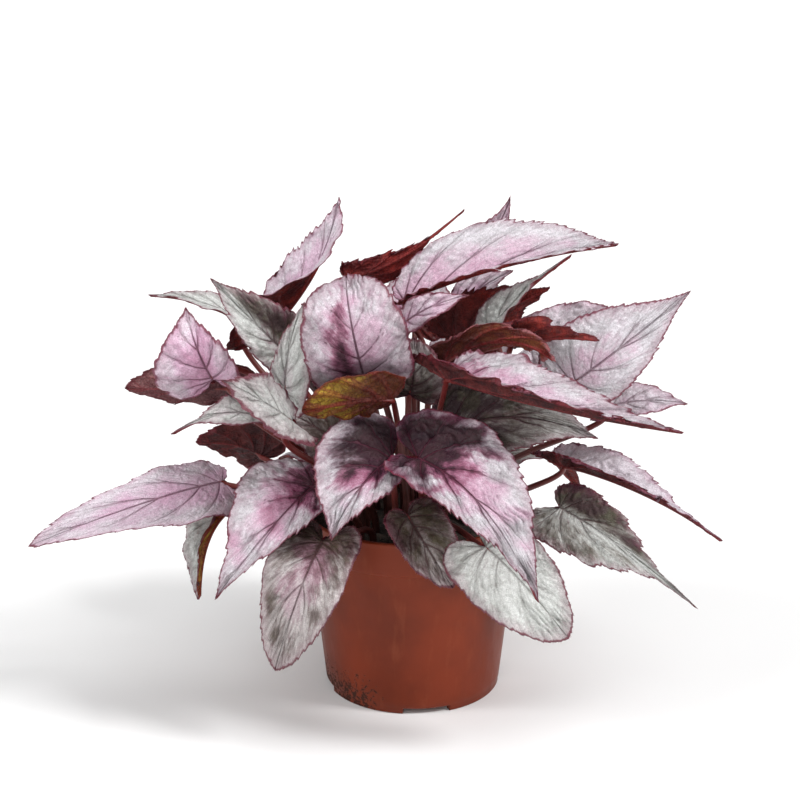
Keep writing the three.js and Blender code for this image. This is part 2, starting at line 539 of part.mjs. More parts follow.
// Potting soil fills the pot: a lumpy top, a side that follows the wall, and a plain hole for each stem.
function soilMesh() {
  const wallShare = (pot.bandHeight - soil.top) / (pot.bandHeight - pot.height);
  const innerAtBand = outerRadiusAt(pot.bandHeight) - pot.bandStep - pot.wall;
  const facetShare = Math.cos(Math.PI / pot.facets);
  const topRadius = lerp(innerAtBand, pot.rimRadius - pot.rimWidth, wallShare) * facetShare - 3 * soil.gap;
  const floorRadius = (outerRadiusAt(pot.floorTop) - pot.wall) * facetShare - 3 * soil.gap;
  const radii = [...soil.ringRadii, topRadius];
  const points = [new THREE.Vector3(0, 0, soil.top + soil.mound)];
  const ring = (radius, heightAt) => {
    for (let k = 0; k < soil.facets; k += 1) {
      const angle = (2 * Math.PI * k) / soil.facets;
      points.push(new THREE.Vector3(radius * Math.cos(angle), radius * Math.sin(angle), heightAt(k)));
    }
  };
  radii.forEach((radius, i) => {
    const rise = soil.mound * (1 - (radius / topRadius) ** 2);
    const lump = i === radii.length - 1 ? 0 : soil.lump;
    ring(radius, (k) => soil.top + rise + lump * chance(i, k));
  });
  ring(floorRadius, () => pot.floorTop + soil.gap);
  points.push(new THREE.Vector3(0, 0, pot.floorTop + soil.gap));
  const triangles = [];
  const last = points.length - 1;
  for (let k = 0; k < soil.facets; k += 1) {
    const next = (k + 1) % soil.facets;
    triangles.push([0, 1 + k, 1 + next]);
    for (let i = 0; i < radii.length; i += 1) {
      const start = 1 + i * soil.facets;
      triangles.push([start + k, start + soil.facets + k, start + soil.facets + next]);
      triangles.push([start + k, start + soil.facets + next, start + next]);
    }
    const floor = 1 + radii.length * soil.facets;
    triangles.push([floor + k, last, floor + next]);
  }
  let solid = solidFrom(meshGeometry(points, triangles));
  for (const shape of leaves) {
    const [x, y] = stemFoot(shape);
    const ends = [soil.top - stem.rootDepth - soil.gap, soil.top + 4 * soil.mound];
    const hole = tubeSolid(ends.map((z) => new THREE.Vector3(x, y, z)),
      ends.map(() => stem.footRadius + 1.6 * soil.gap), stem.sides);
    solid = solid.subtract(hole);
  }
  const mesh = new THREE.Mesh(geometryFrom(solid), new THREE.MeshStandardMaterial(soilColour));
  mesh.name = 'soil';
  return mesh;
}

// ---- the plant ----

const plant = new THREE.Group();
plant.add(potMesh(), soilMesh(), ...leaves.map(leafMesh));

const outline = new THREE.Box3().setFromObject(plant);
const middle = outline.getCenter(new THREE.Vector3());
plant.position.set(-middle.x, -middle.y, 0);

export default plant;
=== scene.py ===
import math

import bpy
import numpy as np
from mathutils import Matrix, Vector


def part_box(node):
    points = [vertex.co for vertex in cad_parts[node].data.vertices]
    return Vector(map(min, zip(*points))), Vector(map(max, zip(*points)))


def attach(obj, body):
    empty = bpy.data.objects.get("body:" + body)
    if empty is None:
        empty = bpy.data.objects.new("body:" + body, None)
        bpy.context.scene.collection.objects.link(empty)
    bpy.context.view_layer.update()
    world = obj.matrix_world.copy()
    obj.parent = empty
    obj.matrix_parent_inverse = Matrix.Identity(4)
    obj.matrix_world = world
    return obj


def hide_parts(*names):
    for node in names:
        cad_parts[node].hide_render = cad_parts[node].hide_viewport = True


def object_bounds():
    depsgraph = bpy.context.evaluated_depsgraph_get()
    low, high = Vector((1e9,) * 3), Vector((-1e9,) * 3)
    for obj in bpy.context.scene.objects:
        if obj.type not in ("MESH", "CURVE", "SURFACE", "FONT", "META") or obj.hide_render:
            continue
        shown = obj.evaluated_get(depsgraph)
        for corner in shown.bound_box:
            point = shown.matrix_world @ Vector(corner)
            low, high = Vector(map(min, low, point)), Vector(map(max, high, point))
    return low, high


# Looks of the potted rex begonia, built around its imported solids. Metres; leaf tables in millimetres.

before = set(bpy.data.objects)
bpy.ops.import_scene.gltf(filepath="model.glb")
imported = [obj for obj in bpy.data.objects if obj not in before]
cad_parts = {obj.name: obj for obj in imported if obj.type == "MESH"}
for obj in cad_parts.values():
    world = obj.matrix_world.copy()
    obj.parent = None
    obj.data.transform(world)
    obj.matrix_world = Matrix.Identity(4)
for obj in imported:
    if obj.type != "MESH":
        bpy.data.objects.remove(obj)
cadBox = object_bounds()
print("scene: frame loaded,", len(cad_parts), "nodes")

mm = 0.001
potLow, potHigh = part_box("pot")
# the leaves are placed from the pot's axis
potAxis = np.array([(potLow.x + potHigh.x) / 2, (potLow.y + potHigh.y) / 2, 0.0])

# how much of each colour the upper side bears, and how far it reaches: dark round the stem's end, along
# the veins and between them, and pink along the midrib
paints = {
    "pink": {"dark": 0.6, "darkReach": 0.5, "veinDark": 0.25, "between": 0.05, "pink": 0.7,
             "pinkReach": 0.8, "look": "pink"},
    "silver": {"dark": 0.55, "darkReach": 0.5, "veinDark": 0.3, "between": 0.2, "pink": 0.15,
               "pinkReach": 0.5, "look": "silver"},
    "plum": {"dark": 0.75, "darkReach": 0.9, "veinDark": 0.3, "between": 0.5, "pink": 0.25,
             "pinkReach": 0.6, "look": "plum"},
    "wine": {"dark": 0.7, "darkReach": 0.8, "veinDark": 0.3, "between": 0.3, "pink": 0.3,
             "pinkReach": 0.6, "look": "plum"},
}

# half outlines of a blade from the notch at the stem to the tip: (half widths, blade lengths)
outlines = {
    "heart": [(0, 0), (.2, -.2), (.56, -.27), (.9, -.1), (1, .18), (.88, .44), (.6, .66), (.27, .84),
              (.08, .95), (0, 1)],
    "blunt": [(0, 0), (.2, -.2), (.56, -.27), (.9, -.1), (1, .2), (.98, .45), (.84, .68), (.55, .87),
              (.24, .97), (0, 1)],
    "tailed": [(0, 0), (.22, -.18), (.6, -.24), (.92, -.08), (1, .16), (.84, .4), (.45, .6), (.14, .74),
               (.06, .88), (0, 1)],
    "oval": [(0, 0), (.16, -.04), (.42, -.02), (.74, .1), (.98, .32), (.97, .54), (.72, .74), (.34, .89),
             (.1, .97), (0, 1)],
}

leaves = {}


def addLeaf(name, base, middle, tip, width, face, tone="pink", **more):
    # base, middle and tip of the midrib, blade width, and the way the upper side faces, as on the solids.
    # sides and lobes scale the left and right half and their lobes. fold is how many degrees the halves
    # stand up: one number, or left base, left tip, right base, right tip. cup and hook curl the margin and
    # the tip. The stem leaves the soil at foot and comes in along arrival. puff, frill, teeth and rim scale
    # the relief, the waves and the teeth of the margin, and its red band. rimDark darkens inside that band,
    # and side the right (+) or left (-) half, from the notch to sideTo and out to sideReach.
    plain = {"sides": (1, 1), "lobes": 1, "fold": 10, "cup": 0, "hook": 0, "form": "heart", "foot": None,
             "arrival": None, "under": "wine", "puff": 1, "frill": 1, "teeth": 1, "rim": 1, "rimDark": 0,
             "side": 0, "sideTo": 0.4, "sideReach": 2}
    place = {"base": base, "middle": middle, "tip": tip, "width": width, "face": face}
    leaves[name] = {**plain, **paints[tone], **place, **more}


def addRadialLeaf(name, bearing, base, middle, tip, width, **more):
    angle = math.radians(bearing)  # the midrib lies in the upright plane at this bearing
    place = lambda p: (p[0] * math.sin(angle), -p[0] * math.cos(angle), p[1])
    face = (0.45 * math.sin(angle), -0.45 * math.cos(angle), 0.9)
    addLeaf(name, place(base), place(middle), place(tip), width, face, **{"lobes": 0.7, "cup": -8, **more})


# front
addLeaf("leaf_front_left", (-11, -62, 151), (-28, -88, 142), (-41, -98, 120), 56, (-0.3, -0.8, 0.5),
        sides=(0.6, 1.2), lobes=(0.2, 1), fold=(10, 10, 34, 10), cup=-15, foot=(-9, -36), dark=0.88,
        darkReach=0.62, pink=1, pinkReach=0.62, between=0.06, side=0.65, sideTo=0.7, sideReach=1.25,
        puff=1.5)
addLeaf("leaf_front_right", (2, -78, 156), (33, -108, 141), (60, -124, 98), 62, (0.3, -0.75, 0.6),
        sides=(1.1, 0.65), lobes=(1.1, 0.5), fold=14, cup=-8, foot=(5, -31), dark=1, darkReach=0.5,
        between=0.06, veinDark=0.12, pink=0.85, side=-1, sideTo=0.5, sideReach=1.3, puff=1.9)
addLeaf("leaf_low_left", (-51, -54, 133), (-72, -80, 119), (-100, -90, 85), 56, (-0.3, -0.75, 0.6),
        sides=(0.6, 1.2), lobes=0.8, cup=-8, dark=0.85, darkReach=0.42, veinDark=0.12, pink=1,
        pinkReach=0.85)
addLeaf("leaf_rim_left", (-46, -78, 112), (-57, -94, 91), (-71, -84, 43), 44, (-0.25, -0.9, 0.35),
        form="blunt", lobes=0.8, cup=-8, tone="silver", dark=0.8, darkReach=0.5, veinDark=0, between=0.4,
        pink=0.75, pinkReach=0.8, rimDark=0.15, teeth=0.6, look="shade")
addLeaf("leaf_rim_small", (-3, -58, 118), (7, -71, 105), (20, -75, 85), 36, (0.1, -0.9, 0.45), form="blunt",
        sides=(1, 0.8), lobes=0.6, cup=-8, tone="plum", foot=(-6, -42), dark=0.75, darkReach=1.2,
        veinDark=0, between=0.6, teeth=0.6, look="shade")
addLeaf("leaf_rim_right", (36, -79, 109), (55, -96, 95), (77, -102, 69), 52, (0, -0.8, 0.5), form="blunt",
        sides=(0.8, 1), cup=-8, tone="silver", foot=(14, -30), dark=0.15, veinDark=0.1, between=0.1,
        pink=0.1, rimDark=0.15, teeth=0.7)
# left
addLeaf("leaf_far_left", (-100, -32, 127), (-137, -58, 125), (-197, -66, 104), 42, (-0.1, -0.72, 0.7),
        form="blunt", sides=(1, 0.85), lobes=0.4, fold=(-10, 50, 0, 0), cup=-5, foot=(-34, -19),
        arrival=(-0.9, -0.2, 0.4), dark=0.02, veinDark=0.02, pink=0.7, pinkReach=1.1, puff=0.6, teeth=0.6,
        look="pale")
addLeaf("leaf_low_left_folded", (-91, -27, 113), (-106, -47, 102), (-112, -53, 69), 34, (-0.7, -0.5, 0.5),
        form="blunt", sides=(0.4, 1.5), lobes=0.3, fold=(70, 70, 0, 0), tone="silver", foot=(-38, -8),
        under="olive", dark=0.05, veinDark=0.05, between=0.05)
addLeaf("leaf_left_inner", (-61, -67, 172), (-76, -91, 191), (-93, -99, 203), 40, (-0.1, -0.75, 0.7),
        lobes=0.6, fold=14, cup=-8, foot=(-20, -20), dark=0.1, veinDark=0.06, pink=0.15, frill=2, teeth=1.5,
        rim=2.4, look="silver")
addLeaf("leaf_left_pale", (-83, -40, 166), (-101, -52, 170), (-124, -50, 159), 34, (-0.2, -0.6, 0.8),
        form="tailed", sides=(1, 0.7), fold=20, tone="silver", foot=(-31, -12), arrival=(-0.7, -0.1, 0.7),
        dark=0.05, veinDark=0.06, between=0.05, pink=0.3)
addLeaf("leaf_left_upright", (-103, -36, 184), (-110, -46, 205), (-116, -34, 222), 46, (-0.2, -0.85, 0.45),
        sides=(1.25, 0.75), lobes=0.5, fold=14, cup=-15, foot=(-29, 2), dark=0.15, darkReach=0.4,
        veinDark=0.08, between=0.02, pink=0.95, pinkReach=1, rim=1.3, look="pale")
addLeaf("leaf_left_under", (-98, -8, 171), (-124, -12, 172), (-152, -12, 172), 34, (-0.1, 0.85, 0.45),
        form="blunt", fold=14, tone="wine", arrival=(-0.6, 0.2, 0.6), under="dusty")
addLeaf("leaf_left_sliver", (-94, 20, 202), (-117, 20, 211), (-142, 22, 214), 20, (0, -0.3, 0.95), fold=20,
        tone="silver", dark=0.1, veinDark=0.1, between=0.05)
# its darker right half, set by side, is painted shadow of the leaf above it
addLeaf("leaf_left_dark", (-67, -13, 192), (-84, -21, 212), (-106, -5, 230), 44, (-0.2, -0.7, 0.6),
        sides=(0.7, 0.9), lobes=0.6, fold=16, cup=-8, tone="plum", foot=(-24, -3), arrival=(-0.3, -0.1, 1),
        dark=0.35, darkReach=0.5, veinDark=0.1, between=0.12, look="silver", side=0.75, sideTo=0.95)
addLeaf("leaf_left_maroon", (-82, 4, 129), (-96, 2, 136), (-117, 0, 138), 40, (0, 0.8, 0.6), form="blunt",
        tone="wine", arrival=(-0.8, 0.2, 0.4), under="maroon")
addLeaf("leaf_left_crinkled", (-39, -28, 147), (-53, -31, 158), (-68, -28, 165), 36, (-0.2, -0.75, 0.5),
        lobes=0.5, tone="plum", foot=(-27, -22), frill=3, look="shade")
# middle
addLeaf("leaf_centre_edge", (-66, -36, 178), (-63, -38, 203), (-56, -27, 223), 28, (-0.35, -0.8, 0.3),
        sides=(0.6, 1.3), lobes=(1.2, 0.8), fold=(25, 25, 20, 20), tone="silver", foot=(-25, -15),
        dark=0.15, veinDark=0.1, between=0.05, pink=0.3)
addLeaf("leaf_centre_tall", (-25, -52, 190), (-31, -68, 223), (-35, -50, 249), 56, (-0.05, -0.95, 0.3),
        form="blunt", lobes=(0.4, 0.3), cup=-25, hook=10, foot=(-13, -12), dark=0.05, darkReach=0.2,
        veinDark=0.1, between=0.1, pink=0.75, pinkReach=1.1, side=-0.75, sideTo=1.5, sideReach=0.65,
        rim=1.5, rimDark=0.12, puff=1.2)
addLeaf("leaf_centre_curled", (-11, -60, 181), (-31, -68, 182), (-56, -68, 177), 34, (0.1, 0.8, 0.4),
        form="blunt", lobes=0.3, fold=14, tone="wine", foot=(-3, -26), arrival=(0, -1, 0.2), under="olive",
        dark=1, darkReach=0.85, teeth=0.6)
addLeaf("leaf_centre_dark", (-2, -34, 176), (0, -39, 190), (0, -35, 206), 34, (0.1, -0.9, 0.2),
        form="blunt", lobes=0.5, tone="plum", foot=(-4, -15))
addLeaf("leaf_centre_small", (-4, -26, 212), (11, -34, 223), (28, -30, 227), 20, (0, -0.7, 0.7), lobes=0.5,
        foot=(3, -9), dark=0.2, darkReach=0.35, veinDark=0.08, pink=0.8, rim=1.5, look="pale")
addLeaf("leaf_centre_strip", (21, 18, 210), (36, 16, 219), (53, 16, 229), 20, (0, -0.6, 0.8), form="oval",
        fold=20, foot=(15, 4), arrival=(0.2, 0.3, 1), dark=0.1, veinDark=0.05, look="pale")
# top
addLeaf("leaf_top_left", (-68, 8, 207), (-48, 4, 239), (-39, 10, 270), 46, (-0.45, -0.8, 0.4),
        sides=(1, 1.2), lobes=(0.8, 1.6), fold=(0, 0, 110, 0), foot=(-14, 3), dark=0.05, veinDark=0.04,
        pink=0.7, pinkReach=0.9, frill=2, teeth=1.6, puff=0.6, look="pale")
# its underside takes a lighter copy of the wine colours, painted light where it faces away from the lamps
addLeaf("leaf_top_wine", (-36, 16, 225), (-6, 18, 236), (27, 22, 261), 46, (0.2, 0.8, 0.5), form="tailed",
        sides=(0.9, 0.42), lobes=(0.7, 0.2), fold=20, tone="wine", foot=(-5, 8), arrival=(-0.2, 0.1, 1),
        under="litWine", frill=3, teeth=1.6)
addLeaf("leaf_top_right", (-5, -14, 220), (48, -14, 239), (107, 0, 247), 58, (0.1, -0.8, 0.6), form="oval",
        sides=(0.95, 0.5), fold=(0, 0, 80, 60), dark=0.05, veinDark=0.04, pink=0.75, pinkReach=0.9,
        frill=1.5, teeth=0.9, puff=0.6)
addLeaf("leaf_top_spike", (33, 44, 229), (45, 46, 244), (53, 50, 262), 20, (0.2, -0.8, 0.5), foot=(8, 15),
        arrival=(0.2, 0.3, 1), dark=0.05, veinDark=0.05, pink=0.9, pinkReach=1.2)
# right
addLeaf("leaf_right_wine", (21, 2, 196), (46, -2, 211), (72, 4, 223), 44, (0.2, 0.9, 0.4), lobes=0.6,
        fold=12, tone="wine", foot=(10, -3), arrival=(0.3, 0.1, 1), frill=3, teeth=1.6)
addLeaf("leaf_right_blade", (39, -16, 202), (55, -19, 224), (81, -19, 246), 26, (-0.8, -0.4, 0.3),
        form="tailed", lobes=0.3, fold=30, tone="silver", foot=(17, -4), dark=0.1, veinDark=0.1,
        between=0.05, frill=1.5)
addLeaf("leaf_right_wine_point", (50, -31, 201), (68, -38, 207), (95, -35, 205), 34, (0.2, 0.6, 0.8),
        lobes=0.4, fold=20, tone="wine", frill=3, teeth=1.6)
addLeaf("leaf_right_frill", (14, -34, 191), (44, -44, 207), (72, -44, 196), 24, (0.1, 0.8, 0.6),
        form="blunt", fold=20, tone="wine", foot=(9, -11), arrival=(0.1, -1.2, 0.8), under="ruby",
        frill=4.5, teeth=1.8)
addLeaf("leaf_right_long", (16, -63, 193), (66, -93, 187), (132, -88, 173), 48, (0.1, -0.55, 0.82),
        sides=(1.2, 0.6), lobes=(0.2, 0.85), fold=(5, 5, 85, 65), foot=(4, -24), arrival=(0.1, -0.7, 0.9),
        under="maroon", dark=0.45, darkReach=0.35, veinDark=0.08, between=0.06, pink=0.75, frill=2.6,
        teeth=1.4, rim=2, puff=1.2)
addLeaf("leaf_right_broad", (83, -22, 178), (110, -24, 200), (144, -12, 225), 58, (0.15, -0.8, 0.5),
        sides=(1, 0.75), lobes=(0.6, 0.4), fold=8, dark=0.1, veinDark=0.06, pink=0.5, pinkReach=0.75,
        rim=1.2, rimDark=0.12, puff=0.6)
addLeaf("leaf_right_behind", (63, 14, 188), (87, 14, 197), (110, 12, 205), 34, (0, -0.8, 0.6), form="blunt",
        tone="silver", foot=(28, -3), arrival=(0.3, 0.2, 1), dark=0.03, veinDark=0.05, between=0.02,
        pink=0.2, look="pale")
addLeaf("leaf_right_silver", (104, -14, 163), (124, -18, 167), (144, -18, 165), 26, (0, -0.6, 0.8),
        tone="silver", foot=(32, 8), dark=0.05, veinDark=0.05, between=0.02, pink=0.35, look="pale")
addLeaf("leaf_right_dark", (17, -44, 159), (53, -62, 172), (93, -60, 160), 58, (0.1, -0.7, 0.7),
        sides=(0.9, 1), lobes=0.4, fold=14, cup=-8, tone="plum", foot=(11, -20), dark=0.85, darkReach=1.0,
        between=0.4)
addLeaf("leaf_right_drip", (80, -18, 131), (123, -38, 121), (163, -36, 95), 44, (0.3, -0.6, 0.75),
        form="tailed", sides=(1, 0.5), lobes=(0.5, 0.8), fold=(0, 0, 75, 60), tone="silver", under="maroon",
        dark=0.03, veinDark=0.04, between=0, pink=0.05, frill=2, teeth=1.3, look="pale")
addLeaf("leaf_low_right", (77, -34, 113), (108, -56, 99), (149, -54, 64), 46, (0.1, -0.85, 0.5),
        form="tailed", sides=(0.8, 1), lobes=(0.5, 0.6), cup=-8, tone="silver", dark=0.3, veinDark=0,
        between=0.35, pink=0.05, side=-0.5, sideTo=1.2, rimDark=0.3, teeth=1.2)
# back: three tiers
addRadialLeaf("leaf_back_low_1", 125, (58, 118), (92, 112), (122, 78), 48, tone="silver")
addRadialLeaf("leaf_back_low_2", 152, (60, 112), (92, 102), (118, 62), 50)
addRadialLeaf("leaf_back_low_3", 182, (58, 120), (92, 112), (124, 76), 54)
addRadialLeaf("leaf_back_low_4", 210, (60, 112), (90, 104), (116, 64), 46, tone="silver")
addRadialLeaf("leaf_back_low_5", 236, (58, 120), (84, 112), (104, 80), 44)
addRadialLeaf("leaf_back_mid_1", 121, (54, 158), (76, 166), (104, 146), 46)
addRadialLeaf("leaf_back_mid_2", 149, (54, 166), (78, 174), (112, 150), 50)
addRadialLeaf("leaf_back_mid_3", 177, (54, 160), (82, 166), (116, 140), 52, tone="silver")
addRadialLeaf("leaf_back_mid_4", 205, (54, 168), (78, 174), (110, 152), 46)
addRadialLeaf("leaf_back_mid_5", 233, (54, 160), (76, 168), (100, 148), 46, tone="plum")
addRadialLeaf("leaf_back_high_1", 128, (44, 188), (60, 204), (86, 202), 38, tone="silver", foot=(16, 16))
addRadialLeaf("leaf_back_high_2", 178, (38, 194), (55, 210), (84, 208), 42)
addRadialLeaf("leaf_back_high_3", 229, (38, 188), (56, 202), (82, 200), 38)


def unit(v):
    # the vectors at length one
    return v / np.maximum(np.linalg.norm(v, axis=-1, keepdims=True), 1e-12)


def smooth(low, high, x):
    # eased step from 0 where x is low to 1 where it is high
    t = np.clip((x - low) / (high - low), 0, 1)
    return t * t * (3 - 2 * t)


def outlineAt(form, t):
    # Catmull-Rom curve through the outline's points, t from 0 at the notch to 1 at the tip
    p = np.array(outlines[form], float)
    n = len(p) - 1
    q = np.clip(t, 0, 1) * n
    i = np.minimum(q.astype(int), n - 1)
    w = (q - i)[..., None]
    p0, p1, p2, p3 = (p[np.clip(i + k, 0, n)] for k in (-1, 0, 1, 2))
    v0, v1 = (p2 - p0) / 2, (p3 - p1) / 2
    return (2 * p1 - 2 * p2 + v0 + v1) * w**3 + (-3 * p1 + 3 * p2 - 2 * v0 - v1) * w**2 + v0 * w + p1


def midribAt(leaf, y):
    # quadratic curve through base, middle and tip: its point, direction, upper side and right-hand side
    base, middle, tip = (np.array(leaf[k], float) for k in ("base", "middle", "tip"))
    control = 2 * middle - (base + tip) / 2
    s = np.clip(y, 0, 1)[..., None]
    point = base * (1 - s) ** 2 + 2 * control * s * (1 - s) + tip * s**2
    slope = 2 * (1 - s) * (control - base) + 2 * s * (tip - control)
    point = point + np.minimum(y, 0)[..., None] * slope
    along = unit(slope)
    face = np.array(leaf["face"], float)
    up = unit(face - (along @ face)[..., None] * along)
    return point, along, up, np.cross(along, up)


# millimetres, and shares of the blade
blade = {
    "fanShare": 0.42, "veinSpread": 1.8, "veinBend": 0.05, "wave": 1.2, "waves": 2.5, "hookFrom": 0.6,
    "veins": 7,  # main side veins in each half
    "columnSize": 0.72, "rowSize": 0.85, "hiddenSize": 1.7,  # grid cells; hidden leaves are that much coarser
    "columnsPerVein": (8, 26), "rows": (9, 40),  # fewest and most of them
    "rimShare": 0.985,  # how far out the last row of cells starts
    "thickness": 0.62, "edgeThickness": 0.3,
    "veinDepth": 0.4, "ridge": 0.5, "puff": 2.2, "crinkle": 0.5, "puffLength": 5.6,
    "frill": 0.7, "frillSize": 7.5,  # waves of the outermost margin
    "toothDepth": 1.15, "toothSize": 3.8, "scallopDepth": 1.1, "scallopSize": 11,
    "edgeHairs": 420, "edgeHairLength": 1.1, "edgeHairWidth": 0.06,
    "hairColours": ((0.16, 0.012, 0.025), (0.50, 0.22, 0.24)),
    "swell": 1.6, "inside": 0.4,  # room past its solid's box, and room left inside the whole plant's box
}


def bladeAt(leaf, x, y):
    # the blade's middle surface: x in half widths, y in lengths; each half stands up by its fold and
    # curls by its cup, and the margin waves
    point, _, up, right = midribAt(leaf, y)
    isLeft = x < 0
    half = leaf["width"] / 2 * np.where(isLeft, *leaf["sides"])
    reach = np.abs(x)
    s = np.clip(y, 0, 1)
    leftBase, leftTip, rightBase, rightTip = np.broadcast_to(leaf["fold"], 4)
    fold = np.where(isLeft, leftBase + (leftTip - leftBase) * s, rightBase + (rightTip - rightBase) * s)
    angle = np.radians(fold + leaf["cup"] * reach / 2)
    lift = blade["wave"] * reach**2 * np.sin(2 * np.pi * (blade["waves"] * y + 0.25 * np.sign(x)))
    lift -= leaf["hook"] * np.clip((y - blade["hookFrom"]) / (1 - blade["hookFrom"]), 0, 1) ** 2
    side = np.sign(x) * half * reach * np.cos(angle)
    return point + right * side[..., None] + up * (half * reach * np.sin(angle) + lift)[..., None]


def seedOf(name):
    # the name's letters, each times its place, summed
    return sum((i + 1) * ord(c) for i, c in enumerate(name)) % 100000


def ripple(seed, x, y, size):
    # smooth noise, mostly from -1 to 1: the sum of six sine waves in drawn directions, about size long
    rng = np.random.default_rng(seed)
    total = np.zeros(np.shape(x))
    for _ in range(6):
        angle, phase = rng.uniform(0, 2 * np.pi, 2)
        pace = 2 * np.pi / (size * rng.uniform(0.7, 1.6))
        total += np.sin(pace * (x * np.cos(angle) + y * np.sin(angle)) + phase)
    return total / 3.2


def cornerNormals(points, triangles):
    # normal at each point: the sum of the area vectors of the triangles that meet there
    a, b, c = (points[triangles[:, k]] for k in range(3))
    area = np.cross(b - a, c - a)
    total = np.zeros_like(points)
    for k in range(3):
        np.add.at(total, triangles[:, k], area)
    return unit(total)


def tidyTriangles(triangles):
    # leaves out the triangles that have a corner twice
    a, b, c = triangles.T
    return triangles[(a != b) & (b != c) & (c != a)]


def cellTriangles(a, b, c, d):
    # two triangles in each cell, from the numbers of its four corners
    return np.concatenate([np.stack([a, b, c], -1).reshape(-1, 3), np.stack([a, c, d], -1).reshape(-1, 3)])


def ringTriangles(rows, columns):
    # rows of points in closed rings, each end closed on one of the two points that follow them
    ids = np.arange(rows * columns).reshape(rows, columns)
    nextIds = np.roll(ids, -1, axis=1)
    caps = [np.stack([nextIds[0], ids[0], np.full(columns, ids.size)], -1),
            np.stack([ids[-1], nextIds[-1], np.full(columns, ids.size + 1)], -1)]
    return np.concatenate([cellTriangles(ids[:-1], nextIds[:-1], nextIds[1:], ids[1:]), *caps])


def leafPaint(leaf, seed, x, y, flatX, flatY, t, length, reach, veinNear):
    # shares of dark and pink at each point: dark fades with the distance from the stem's end, lies in soft
    # strips on or between the veins, fills part of one half and clouds the rim; pink fades with the
    # distance from a spot on the midrib
    drift = ripple(seed + 6, flatX, flatY, 15)
    small = ripple(seed + 7, flatX, flatY, 5)
    fromBase = np.hypot(flatX, flatY) / length + 0.08 * drift + 0.04 * small
    byVein = np.exp(-(veinNear / 2.2) ** 2)
    fade = 1 - smooth(0.1 * leaf["darkReach"], leaf["darkReach"], fromBase)
    dark = leaf["dark"] * fade * (0.65 + 0.35 * byVein)
    dark += leaf["veinDark"] * byVein * (1 - smooth(0.3, 0.95, reach)) * (0.6 + 0.4 * drift)
    strip = (1 - byVein) * smooth(0.1, 0.4, reach) * (1 - smooth(0.75, 1, reach))
    dark += leaf["between"] * strip * (0.8 + 0.35 * drift)
    ownSide = np.clip(np.sign(leaf["side"]) * x * 4, 0, 1) * abs(leaf["side"])
    near = 1 - smooth(leaf["sideTo"] - 0.16, leaf["sideTo"] + 0.16, t + 0.05 * drift)
    near *= 1 - smooth(0.4 * leaf["sideReach"], leaf["sideReach"], reach + 0.1 * drift)
    dark += ownSide * near * (1 - 0.4 * smooth(0.6, 1, reach))
    nearRim = smooth(0.5, 0.85, reach) * (1 - smooth(0.94, 1, reach)) * smooth(0.15, 0.5, t)
    dark += leaf["rimDark"] * np.clip(nearRim * (0.6 + 0.6 * drift), 0, 1)
    middle = np.hypot(x * 0.9, y - 0.22) + 0.14 * drift
    pink = leaf["pink"] * (1 - smooth(0.05, leaf["pinkReach"], middle))
    return np.clip(dark, 0, 1), np.clip(pink, 0, 1)


def marginCut(leaf, seed, t, around, isLeft):
    # how far the margin is cut in: saw teeth that point to the tip, with a finer tooth between, of uneven
    # depth, and longer scallops; less at the notch and the tip, and on narrow blades
    teeth = max(round(around / blade["toothSize"]), 6)
    beat = t * teeth + 0.45 * ripple(seed + 1, t, t * 0, 0.2)
    saw = 1 - (beat % 1) ** 1.3
    fine = 1 - (2 * beat + 0.35) % 1
    vary = np.clip(ripple(seed + 2 + isLeft, t, t * 0, 0.1), -1, 1)
    depth = (1 + 0.7 * vary) * blade["toothDepth"] * leaf["teeth"]
    bulge = ripple(seed + 11 + isLeft, t * around, t * 0, blade["scallopSize"])
    scallop = 0.5 + 0.5 * np.clip(bulge, -1, 1)
    cut = depth * (0.68 * saw + 0.32 * fine) + blade["scallopDepth"] * leaf["teeth"] * scallop
    cut *= np.sin(np.pi * np.clip(t, 0, 1)) ** 0.25
    cut *= np.minimum(1, leaf["width"] / 40)
    return cut


